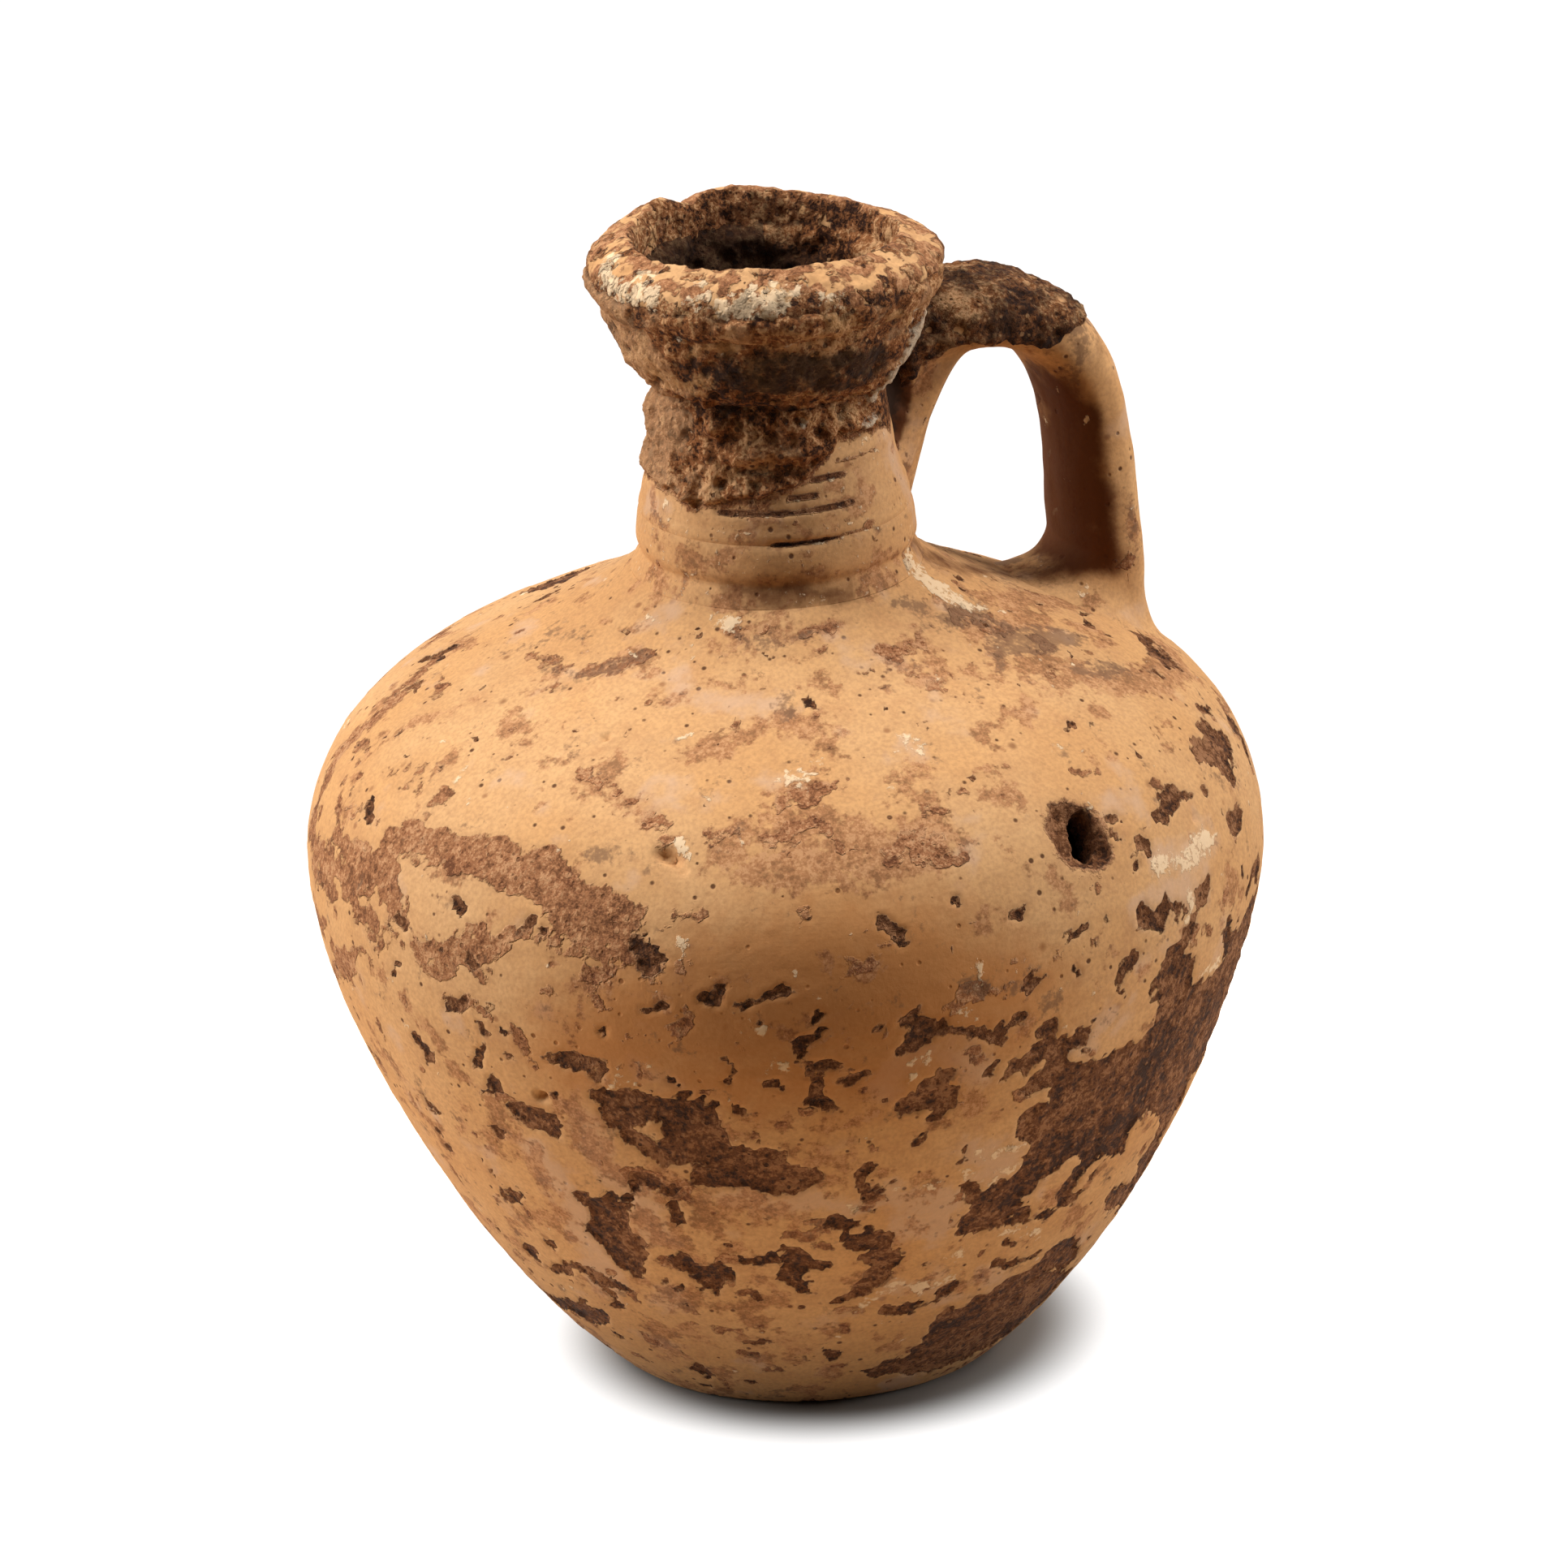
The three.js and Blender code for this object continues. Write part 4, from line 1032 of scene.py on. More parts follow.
def lip_shape(points, normals):
    """The thick lip, crumbly with soil, worn down at the back and with lime on its crest in front."""
    turn = azimuth_of(points)
    z = points[..., 2]
    high = 0.26 * rough(points, 4.5, 3, 172) + 0.5 * crumbs(points, 176)
    real = points + normals * high[..., None]
    top = eased(144.0, 147.6, z)
    for azimuth, width, rise in LIP_WEAR:
        gap = half_turn(turn - azimuth)
        real[..., 2] += rise * top * np.exp(-(gap / width) ** 2)
    outside = np.hypot(points[..., 0], points[..., 1])
    lime = np.minimum(stroke_field(warped(points, 2.0, 0.8, 181), LIP_LIME), 0.5)
    lime = lime + 0.6 * rough(points, 1.6, 2, 174)
    lime = np.where(outside > 17.2, lime, -FAR)
    slope = eased(145.0, 146.5, z) * eased(16.6, 17.4, outside)
    tan_side = eased(50.0, 95.0, np.abs(turn))
    behind = eased(120.0, 150.0, np.abs(turn))
    buff = rough(warped(points, 2.5, 1.2, 179), 3.0, 4, 175)
    buff = buff + (0.4 + 0.1 * tan_side + 0.9 * behind) * slope
    inner_face = eased(16.9, 16.2, outside)
    soil = 0.3 - 2.6 * buff + 0.7 * rough(points, 0.9, 2, 173) + 1.2 * inner_face
    thin = 1.6 * rough(points, 2.4, 3, 178) + 0.35 * tan_side
    return real, {"soil": soil, "lime": lime, "lost": np.full(z.shape, -2.0), "thin": thin}


def seam_part(line, low, high, step):
    """Evenly spaced part of a rising profile line."""
    return respaced(rising_part(line, low, high), step)


# Materials.
def add_node(tree, kind, settings=None, values=None):
    """A shader node with its settings and the plain values of its named inputs."""
    node = tree.nodes.new(kind)
    for key, value in (settings or {}).items():
        setattr(node, key, value)
    for key, value in (values or {}).items():
        node.inputs[key].default_value = value
    return node


def feed(tree, source, target):
    """Links an output to an input, or sets a plain value."""
    if isinstance(source, bpy.types.NodeSocket):
        tree.links.new(source, target)
    else:
        target.default_value = source


def maths(tree, operation, a, b=0.0, c=0.0):
    """One sum on values."""
    node = add_node(tree, "ShaderNodeMath", {"operation": operation})
    for socket, value in zip(node.inputs, (a, b, c)):
        feed(tree, value, socket)
    return node.outputs[0]


def blend(tree, share, a, b):
    """Two colours mixed by a share."""
    node = add_node(tree, "ShaderNodeMix", {"data_type": "RGBA"})
    feed(tree, share, node.inputs[0])
    feed(tree, a, node.inputs[6])
    feed(tree, b, node.inputs[7])
    return node.outputs[2]


def coated(tree, colour, mask, share, tone):
    """A colour with another laid over it where a mask is, at a share of full strength."""
    return blend(tree, maths(tree, "MULTIPLY", mask, share), colour, tone)


def ramp(tree, value, low, high, start=0.0, end=1.0):
    """A smooth step of a value."""
    node = add_node(tree, "ShaderNodeMapRange", {"interpolation_type": "SMOOTHSTEP"})
    for key, number in (("From Min", low), ("From Max", high), ("To Min", start), ("To Max", end)):
        node.inputs[key].default_value = number
    feed(tree, value, node.inputs["Value"])
    return node.outputs["Result"]


def noise(tree, place, size, detail=3.0, roughness=0.55, distortion=0.0):
    """Noise whose lumps are about size mm across, from about 0 to 1."""
    values = {"Scale": 1.0 / size, "Detail": detail, "Roughness": roughness, "Distortion": distortion}
    node = add_node(tree, "ShaderNodeTexNoise", None, values)
    feed(tree, place, node.inputs["Vector"])
    return node.outputs["Fac"]


def stretched(tree, place, scale):
    """Places squeezed along some axes, for streaks."""
    node = add_node(tree, "ShaderNodeVectorMath", {"operation": "MULTIPLY"})
    feed(tree, place, node.inputs[0])
    node.inputs[1].default_value = scale
    return node.outputs[0]


def specks(tree, place, size, fill, reach):
    """A mask of scattered specks, in a share of cells of a size, of a largest reach in mm."""
    node = add_node(tree, "ShaderNodeTexVoronoi", None, {"Scale": 1.0 / size})
    feed(tree, place, node.inputs["Vector"])
    split = add_node(tree, "ShaderNodeSeparateColor")
    feed(tree, node.outputs["Color"], split.inputs["Color"])
    chosen = ramp(tree, split.outputs[0], 1.0 - fill, 1.0, 0.35, 1.0)
    drawn = maths(tree, "GREATER_THAN", split.outputs[0], 1.0 - fill)
    edge = maths(tree, "MULTIPLY", chosen, reach / size)
    gap = maths(tree, "SUBTRACT", edge, node.outputs["Distance"])
    inside = ramp(tree, gap, -0.05, 0.08)
    return maths(tree, "MULTIPLY", inside, drawn)


def new_group(name, inputs, outputs):
    """An empty shader node group with named sockets."""
    tree = bpy.data.node_groups.new(name, "ShaderNodeTree")
    for label, kind in inputs:
        tree.interface.new_socket(label, in_out="INPUT", socket_type="NodeSocket" + kind)
    for label, kind in outputs:
        tree.interface.new_socket(label, in_out="OUTPUT", socket_type="NodeSocket" + kind)
    return tree, tree.nodes.new("NodeGroupInput").outputs, tree.nodes.new("NodeGroupOutput").inputs


SURFACE_IN = [("Place", "Vector")]
SURFACE_OUT = [("Colour", "Color"), ("Height", "Float")]


def slip_group():
    """Buff slip: mottled, streaked by the wheel, with sand specks and pinholes."""
    tree, given, out = new_group("buff_slip", SURFACE_IN, SURFACE_OUT)
    place = given["Place"]
    broad = noise(tree, place, 26.0, 3.0)
    colour = blend(tree, ramp(tree, broad, 0.35, 0.65), (0.70, 0.375, 0.155, 1), (0.74, 0.43, 0.20, 1))
    patchy = noise(tree, place, 6.0, 5.0, 0.62, 0.4)
    colour = blend(tree, ramp(tree, patchy, 0.52, 0.78, 0.0, 0.55), colour, (0.55, 0.265, 0.115, 1))
    streaks = noise(tree, stretched(tree, place, (0.10, 0.10, 1.0)), 1.6, 4.0)
    colour = blend(tree, ramp(tree, streaks, 0.3, 0.7, 0.16, 0.0), colour, (0.45, 0.22, 0.09, 1))
    grit = noise(tree, place, 0.55, 2.0)
    colour = blend(tree, ramp(tree, grit, 0.3, 0.75, 0.0, 0.40), colour, (0.40, 0.20, 0.09, 1))
    dots = specks(tree, place, 1.9, 0.5, 0.36)
    colour = blend(tree, dots, colour, (0.12, 0.05, 0.02, 1))
    large_dots = specks(tree, place, 5.5, 0.3, 0.7)
    colour = coated(tree, colour, large_dots, 0.8, (0.26, 0.11, 0.045, 1))
    blots = specks(tree, place, 3.4, 0.45, 0.55)
    blots = maths(tree, "MULTIPLY", blots, ramp(tree, patchy, 0.40, 0.58, 0.15, 0.8))
    colour = blend(tree, blots, colour, (0.33, 0.145, 0.062, 1))
    feed(tree, colour, out["Colour"])
    height = maths(tree, "MULTIPLY", streaks, 0.05)
    height = maths(tree, "ADD", height, maths(tree, "MULTIPLY", grit, 0.03))
    height = maths(tree, "ADD", height, maths(tree, "MULTIPLY", patchy, 0.12))
    height = maths(tree, "SUBTRACT", height, maths(tree, "MULTIPLY", dots, 0.10))
    feed(tree, height, out["Height"])
    return tree


def crumbly_group(name, dark, middle, pale, size, rise):
    """A granular brown surface in three tones, with pale and dark grains; rise is its relief in mm."""
    tree, given, out = new_group(name, SURFACE_IN, SURFACE_OUT)
    place = given["Place"]
    lumps = noise(tree, place, size, 7.0, 0.68)
    broad = noise(tree, place, size * 6.0, 3.0)
    fine = noise(tree, place, size * 0.35, 4.0, 0.65)
    tone = maths(tree, "MULTIPLY_ADD", maths(tree, "SUBTRACT", broad, 0.5), 0.55, lumps)
    tone = maths(tree, "MULTIPLY_ADD", maths(tree, "SUBTRACT", fine, 0.5), 0.6, tone)
    colour = blend(tree, ramp(tree, tone, 0.36, 0.50), dark, middle)
    colour = blend(tree, ramp(tree, tone, 0.51, 0.65), colour, pale)
    light_grains = specks(tree, place, 1.3, 0.4, 0.40)
    colour = coated(tree, colour, light_grains, 0.7, pale)
    dark_grains = specks(tree, place, 1.0, 0.4, 0.34)
    colour = coated(tree, colour, dark_grains, 0.75, dark)
    feed(tree, colour, out["Colour"])
    height = maths(tree, "MULTIPLY_ADD", fine, 0.4, lumps)
    height = maths(tree, "MULTIPLY_ADD", light_grains, 0.22, height)
    height = maths(tree, "MULTIPLY_ADD", dark_grains, -0.28, height)
    feed(tree, maths(tree, "MULTIPLY", height, rise), out["Height"])
    return tree


def ragged_group():
    """A mask from a field in mm, with a ragged edge; Soft is the half-width of the edge."""
    tree, given, out = new_group(
        "ragged_edge",
        [("Field", "Float"), ("Shake", "Float"), ("Soft", "Float"), ("Jitter", "Float")],
        [("Mask", "Float")],
    )
    shake = maths(tree, "SUBTRACT", given["Shake"], 0.5)
    shaken = maths(tree, "MULTIPLY_ADD", shake, given["Jitter"], given["Field"])
    share = maths(tree, "DIVIDE", shaken, given["Soft"])
    feed(tree, ramp(tree, share, -1.0, 1.0), out["Mask"])
    return tree


GROUPS = {}


def placed_group(tree, name, place):
    """A shared group in a material, fed with the place in mm."""
    node = add_node(tree, "ShaderNodeGroup", {"node_tree": GROUPS[name]})
    feed(tree, place, node.inputs["Place"])
    return node


def field_mask(tree, field, shake, soft, jitter):
    """The ragged mask of a named field of wear."""
    attribute = add_node(tree, "ShaderNodeAttribute", {"attribute_name": field})
    node = add_node(tree, "ShaderNodeGroup", {"node_tree": GROUPS["ragged_edge"]})
    feed(tree, attribute.outputs["Fac"], node.inputs["Field"])
    feed(tree, shake, node.inputs["Shake"])
    node.inputs["Soft"].default_value = soft
    node.inputs["Jitter"].default_value = jitter
    return node.outputs["Mask"]


def new_finish(name):
    """An empty material, its shader and the place on the object in mm."""
    material = bpy.data.materials.new(name)
    material.use_nodes = True
    tree = material.node_tree
    shader = tree.nodes["Principled BSDF"]
    spot = add_node(tree, "ShaderNodeTexCoord")
    scale = add_node(tree, "ShaderNodeVectorMath", {"operation": "SCALE"}, {"Scale": 1.0 / MM})
    feed(tree, spot.outputs["Object"], scale.inputs[0])
    return material, tree, shader, scale.outputs[0]


CLAY_GLOSS = 0.22


def finish_with(tree, shader, colour, height, roughness):
    """Feeds colour and height to the shader."""
    feed(tree, colour, shader.inputs["Base Color"])
    bump = add_node(tree, "ShaderNodeBump", None, {"Strength": 1.0, "Distance": MM})
    feed(tree, height, bump.inputs["Height"])
    feed(tree, bump.outputs["Normal"], shader.inputs["Normal"])
    shader.inputs["Roughness"].default_value = roughness
    shader.inputs["Specular IOR Level"].default_value = CLAY_GLOSS


def worn_slip_finish():
    """Buff slip that has spalled off brown clay, with stains, lime and films of soil, and painted shade
    round the belly's front, beside and under the handle, in the corner at the neck's foot and in the crack
    by the upper root.
    """
    material, tree, shader, place = new_finish("worn_slip")
    slip = placed_group(tree, "buff_slip", place)
    bare = placed_group(tree, "bare_clay", place)
    soil = placed_group(tree, "dried_soil", place)
    scoured = placed_group(tree, "scoured_clay", place)
    shake = noise(tree, place, 0.8, 4.0, 0.6)
    broad_shake = noise(tree, place, 4.5, 5.0, 0.65)
    lost = field_mask(tree, "lost", shake, 0.12, 0.7)
    rim = field_mask(tree, "lost", shake, 0.5, 0.9)
    thin = field_mask(tree, "thin", shake, 0.22, 1.5)
    halo = field_mask(tree, "thin", broad_shake, 2.2, 7.0)
    halo = maths(tree, "MAXIMUM", halo, field_mask(tree, "lost", broad_shake, 2.0, 7.0))
    stained = field_mask(tree, "stained", shake, 0.7, 5.0)
    belly_painted_shade = field_mask(tree, "belly_painted_shade", broad_shake, 7.0, 9.0)
    bloom = field_mask(tree, "bloom", broad_shake, 1.4, 4.0)
    painted_shade_and_dirt = field_mask(tree, "painted_shade_and_dirt", broad_shake, 2.2, 5.0)
    grey_stain_and_shade = field_mask(tree, "grey_stain_and_shade", shake, 0.7, 5.0)
    lime = field_mask(tree, "lime", shake, 0.35, 4.6)
    soiled = field_mask(tree, "soil", shake, 0.3, 1.5)
    crack_and_painted_shade = field_mask(tree, "crack_and_painted_shade", shake, 0.5, 1.4)
    colour = slip.outputs["Colour"]
    for share, mask, tone in (
        (0.26, halo, (0.36, 0.165, 0.078, 1)),
        (0.58, bloom, (0.66, 0.43, 0.29, 1)),
        # Painted shade, warm-tinted, round the front of the belly.
        (0.72, belly_painted_shade, (0.52, 0.20, 0.055, 1)),
        (0.70, stained, scoured.outputs["Colour"]),
        (0.90, thin, scoured.outputs["Colour"]),
        # Grey-brown stains, and painted shade under the handle.
        (0.72, grey_stain_and_shade, (0.20, 0.105, 0.058, 1)),
        # Painted shade with some dirt: the corner at the neck's foot, the crevice beside the upper root and
        # the handle's face towards the neck.
        (0.96, painted_shade_and_dirt, (0.098, 0.024, 0.003, 1)),
        # The crack beside the upper root, painted near black as shade.
        (0.92, crack_and_painted_shade, (0.020, 0.008, 0.003, 1)),
    ):
        colour = coated(tree, colour, mask, share, tone)
    edge = maths(tree, "MULTIPLY", rim, maths(tree, "SUBTRACT", 1.0, lost))
    colour = coated(tree, colour, edge, 0.25, (0.85, 0.60, 0.36, 1))
    colour = blend(tree, lost, colour, bare.outputs["Colour"])
    colour = blend(tree, soiled, colour, soil.outputs["Colour"])
    colour = coated(tree, colour, lime, 0.85, (0.90, 0.67, 0.43, 1))
    worn = maths(tree, "MAXIMUM", lost, maths(tree, "MULTIPLY", thin, 0.6))
    height = maths(tree, "MULTIPLY", bare.outputs["Height"], worn)
    smooth = maths(tree, "SUBTRACT", 1.0, maths(tree, "MAXIMUM", lost, soiled))
    height = maths(tree, "MULTIPLY_ADD", slip.outputs["Height"], smooth, height)
    height = maths(tree, "MULTIPLY_ADD", soil.outputs["Height"], soiled, height)
    height = maths(tree, "MULTIPLY_ADD", lime, 0.08, height)
    height = maths(tree, "MULTIPLY_ADD", lost, -0.16, height)
    height = maths(tree, "MULTIPLY_ADD", thin, -0.12, height)
    finish_with(tree, shader, colour, height, 0.86)
    return material


def soil_finish():
    """Dried burial soil with lime and patches where the clay shows through, painted shade in its pits and
    creases and deep in the mouth, and painted light on its lit left side.
    """
    material, tree, shader, place = new_finish("burial_soil")
    soil = placed_group(tree, "dried_soil", place)
    slip = placed_group(tree, "buff_slip", place)
    shake = noise(tree, place, 0.8, 4.0, 0.6)
    through = field_mask(tree, "through", shake, 0.5, 2.4)
    lime = field_mask(tree, "lime", shake, 0.4, 2.6)
    painted_shade_and_dark_soil = field_mask(tree, "painted_shade_and_dark_soil", shake, 0.4, 1.1)
    pale_soil_and_painted_light = field_mask(tree, "pale_soil_and_painted_light", shake, 0.6, 2.0)
    colour = soil.outputs["Colour"]
    for share, mask, tone in (
        (0.80, through, slip.outputs["Colour"]),
        # Paler soil, and painted light on the crust's lit left side.
        (0.58, pale_soil_and_painted_light, (0.66, 0.37, 0.19, 1)),
        # Painted shade, near black, in pits, creases and deep in the mouth, with random darker soil.
        (0.88, painted_shade_and_dark_soil, (0.014, 0.0045, 0.0015, 1)),
        (0.80, lime, (0.86, 0.70, 0.52, 1)),
    ):
        colour = coated(tree, colour, mask, share, tone)
    finish_with(tree, shader, colour, soil.outputs["Height"], 0.95)
    return material


GROUPS["buff_slip"] = slip_group()
GROUPS["bare_clay"] = crumbly_group(
    "bare_clay", (0.036, 0.011, 0.003, 1), (0.168, 0.062, 0.022, 1), (0.39, 0.18, 0.082, 1), 1.5, 0.8
)
GROUPS["scoured_clay"] = crumbly_group(
    "scoured_clay", (0.140, 0.045, 0.017, 1), (0.365, 0.148, 0.062, 1), (0.59, 0.305, 0.150, 1), 1.0, 0.5
)
GROUPS["dried_soil"] = crumbly_group(
    "dried_soil", (0.036, 0.010, 0.0025, 1), (0.315, 0.117, 0.039, 1), (0.72, 0.40, 0.19, 1), 1.5, 0.9
)
GROUPS["ragged_edge"] = ragged_group()
WORN_SLIP = worn_slip_finish()
BURIAL_SOIL = soil_finish()


# The rings of clay, each between the seams that its solid has.
def seam(node, end):
    """Height of a solid's lowest or highest point, in mm."""
    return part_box(node)[end][2] / MM


BASE_SEAM = seam("lower_wall", 0)
BELLY_SEAM = seam("lower_wall", 1)
BELLY_SEAM_INSIDE = 52.2

POLE_RADIUS = 1.0
base_outer = joined(
    respaced(np.array([[POLE_RADIUS, 0.0], [BASE_FLAT, 0.0]]), 2.0),
    respaced(joined(foot_face, rising_part(belly_face, FOOT[1], BASE_SEAM)), BODY_STEP),
)
base_inner = np.array([(radius, FLOOR_EDGE[1]) for radius in (FLOOR_EDGE[0], 14.0, 7.0, POLE_RADIUS)])
shoulder_inner = joined(
    seam_part(wall_inside, BELLY_SEAM_INSIDE, HOLE_HEIGHTS[0], INSIDE_STEP),
    seam_part(wall_inside, HOLE_HEIGHTS[0], HOLE_HEIGHTS[1], BODY_STEP * 1.4),
    seam_part(wall_inside, HOLE_HEIGHTS[1], CAVITY_TOP[1], INSIDE_STEP),
)[::-1]
lip_line = respaced(lip_worn, NECK_STEP)


def outside_part(low, high, step):
    """Part of the outer wall, from below up."""
    return seam_part(wall_face, low, high, step)


def inside_part(low, high, step):
    """Part of the inner wall, from above down."""
    return seam_part(wall_inside, low, high, step)[::-1]


# Each ring's outer line, inner line, columns and wear.
RINGS = {
    "base_disc": (base_outer, base_inner, BODY_COLUMNS, body_shape),
    "lower_wall": (
        outside_part(BASE_SEAM, BELLY_SEAM, BODY_STEP),
        inside_part(FLOOR_EDGE[1], BELLY_SEAM_INSIDE, INSIDE_STEP), BODY_COLUMNS, body_shape,
    ),
    "shoulder_wall": (
        outside_part(BELLY_SEAM, SHOULDER_TOP[1], BODY_STEP), shoulder_inner, BODY_COLUMNS, body_shape,
    ),
    "neck_collar": (
        outside_part(SHOULDER_TOP[1], COLLAR_TOP[1], NECK_STEP),
        inside_part(CAVITY_TOP[1], COLLAR_TOP[1], 4.0), BODY_COLUMNS, neck_shape,
    ),
    "neck_tube": (
        outside_part(COLLAR_TOP[1], NECK_TOP[1], NECK_STEP),
        inside_part(COLLAR_TOP[1], BORE_TOP, 5.0), BODY_COLUMNS, neck_shape,
    ),
    "mouth_cup": (
        outside_part(NECK_TOP[1], MOUTH_TOP[1], 2.0 * NECK_STEP),
        inside_part(BORE_TOP, LIP_FOOT_INSIDE[1], 2.0), NECK_COLUMNS, mouth_shape,
    ),
    "lip_ring": (lip_line[:-3], lip_line[-3:], NECK_COLUMNS, lip_shape),
}
for node, (outer, inner, columns, shape) in RINGS.items():
    ring = thrown_piece(node + "_fired", outer, inner, columns, shape, WORN_SLIP, node == "base_disc")
    if node == "shoulder_wall":
        break_through(ring)
    dress(ring, node)


# The handle: one grid of rings from the neck to the shoulder, cut into its three pieces.
HANDLE_ARCH = [(17.0, 133.2), (30.0, 135.2), (41.0, 132.6), (43.9, 119.5)]
HANDLE_LEG = [(43.9, 119.5), (45.3, 112.5), (45.1, 102.0), (46.6, 91.0)]
STRAP_WIDTH = 17.0
STRAP_THICK_TOP = 8.5
STRAP_THICK_FOOT = 9.4
STRAP_POWER = 2.5
STRAP_START = 0.145
STRAP_END = 0.85
ROOT_RINGS = 34
UPPER_FOOT_HALF = 9.6
UPPER_FOOT_MIDDLE = 131.0
UPPER_FOOT_TOP = 138.9
UPPER_FOOT_BOTTOM = 108.5
LOWER_FOOT_MIDDLE = 46.4
LOWER_FOOT_HALF = 12.4
LOWER_FOOT_OUT = 7.6
LOWER_FOOT_IN = 14.0
SINK = 0.35

handle_line = respaced(joined(curve(HANDLE_ARCH), curve(HANDLE_LEG)), 0.2)
handle_along = np.linspace(0.0, 1.0, len(handle_line))
around = np.arange(HANDLE_AROUND) * (2.0 * math.pi / HANDLE_AROUND)
section_across = np.sign(np.cos(around)) * np.abs(np.cos(around)) ** (2.0 / STRAP_POWER)
section_out = np.sign(np.sin(around)) * np.abs(np.sin(around)) ** (2.0 / STRAP_POWER)


def handle_place(share):
    """Middle, direction and outward normal of the strap at a share of its length, in the XZ plane."""
    middle = np.array([np.interp(share, handle_along, handle_line[:, k]) for k in range(2)])
    ahead = np.array([np.interp(share + 0.005, handle_along, handle_line[:, k]) for k in range(2)])
    behind = np.array([np.interp(share - 0.005, handle_along, handle_line[:, k]) for k in range(2)])
    way = (ahead - behind) / np.linalg.norm(ahead - behind)
    return middle, way, np.array([-way[1], way[0]])


def strap_ring(share):
    """One ring of the strap."""
    middle, _, out = handle_place(share)
    swell = 1.0 + 0.05 * math.cos(2.0 * math.pi * (share - 0.1))
    reach = section_out * 0.5 * (STRAP_THICK_TOP + (STRAP_THICK_FOOT - STRAP_THICK_TOP) * share)
    ring = np.zeros((HANDLE_AROUND, 3))
    ring[:, 0] = middle[0] + out[0] * reach
    ring[:, 1] = section_across * STRAP_WIDTH * 0.5 * swell
    ring[:, 2] = middle[1] + out[1] * reach
    return ring


def wall_frame(points):
    """Outward normals of the wall at points on it."""
    radial, upward = wall_normal(points[:, 2])
    radius = np.hypot(points[:, 0], points[:, 1])
    normals = np.zeros_like(points)
    normals[:, 0] = radial * points[:, 0] / radius
    normals[:, 1] = radial * points[:, 1] / radius
    normals[:, 2] = upward
    return normals


def root_rings(ring, way, foot, middle, inner_bow, inner_lift):
    """Rings from the end of the strap to its foot, running out smoothly along the wall.

    On the side towards the loop, inner_bow is how far the root runs straight on and inner_lift
    is how far the web stands off the wall.
    """
    inner = eased(0.1, -0.8, section_out)[:, None]
    bow = 0.5 + (inner_bow - 0.5) * inner
    normals = wall_frame(foot)
    outward = foot - middle
    outward -= normals * np.sum(outward * normals, axis=1)[:, None]
    outward /= np.linalg.norm(outward, axis=1)[:, None]
    reach = np.linalg.norm(foot - ring, axis=1)[:, None]
    direction = np.array([way[0], 0.0, way[1]])
    spread = foot - (0.42 + 0.25 * inner) * reach * outward + inner_lift * inner * normals
    controls = [ring, ring + bow * reach * direction, spread, foot - SINK * normals]
    share = np.linspace(0.0, 1.0, ROOT_RINGS)[:, None, None]
    level = [control[None] + 0.0 * share for control in controls]
    while len(level) > 1:
        level = [a + (b - a) * share for a, b in zip(level, level[1:])]
    return level[0]


def upper_foot():
    """Where the upper root runs out on the neck and mouth."""
    above = UPPER_FOOT_TOP - UPPER_FOOT_MIDDLE
    below = UPPER_FOOT_MIDDLE - UPPER_FOOT_BOTTOM
    height = UPPER_FOOT_MIDDLE + section_out * np.where(section_out > 0.0, above, below)
    across = section_across * UPPER_FOOT_HALF
    radius = wall_radius(height)
    ahead = np.sqrt(np.maximum(radius ** 2 - across ** 2, 1.0))
    return np.stack([ahead, across, height], axis=1)


def lower_foot():
    """Where the lower root runs out on the shoulder."""
    reach = np.where(section_out > 0.0, LOWER_FOOT_OUT, LOWER_FOOT_IN)
    ahead = LOWER_FOOT_MIDDLE + section_out * reach
    across = section_across * LOWER_FOOT_HALF
    return np.stack([ahead, across, shoulder_height(np.hypot(ahead, across))], axis=1)


strap_count = int(round((STRAP_END - STRAP_START) * 75.0 / HANDLE_STEP)) + 1
strap_shares = np.linspace(STRAP_START, STRAP_END, strap_count)
strap = np.stack([strap_ring(share) for share in strap_shares])
upper_middle = np.array([wall_radius(UPPER_FOOT_MIDDLE), 0.0, UPPER_FOOT_MIDDLE])
lower_middle = np.array([LOWER_FOOT_MIDDLE, 0.0, shoulder_height(LOWER_FOOT_MIDDLE)])
upper = root_rings(strap[0], -handle_place(STRAP_START)[1], upper_foot(), upper_middle, 0.14, 2.4)
lower_root = root_rings(strap[-1], handle_place(STRAP_END)[1], lower_foot(), lower_middle, 0.1, 2.0)
handle_points = np.concatenate([upper[::-1], strap[1:-1], lower_root])
UPPER_END = ROOT_RINGS - 1
LOWER_START = UPPER_END + strap_count - 1


def grid_normals(points):
    """Normals of a grid of rings, outward for rings that turn against the clock seen from their start."""
    along = np.gradient(points, axis=0)
    turn = np.roll(points, -1, axis=1) - np.roll(points, 1, axis=1)
    normals = np.cross(turn, along)
    normals /= np.maximum(np.linalg.norm(normals, axis=-1, keepdims=True), 1e-9)
    middle = points.mean(axis=1, keepdims=True)
    side = np.sign(np.sum(normals * (points - middle), axis=(-1, -2), keepdims=True))
    return normals * side


handle_normals = grid_normals(handle_points)


# The crack between the upper root and the soil on the neck, sunk into the clay and painted near black as
# shade, as its reach along +X by height.
CRACK_HEIGHT = [119.0, 120.6, 122.5, 126.0, 131.0]
CRACK_REACH = [12.5, 14.6, 16.0, 17.2, 16.8]
CRACK_DEEP = 1.5


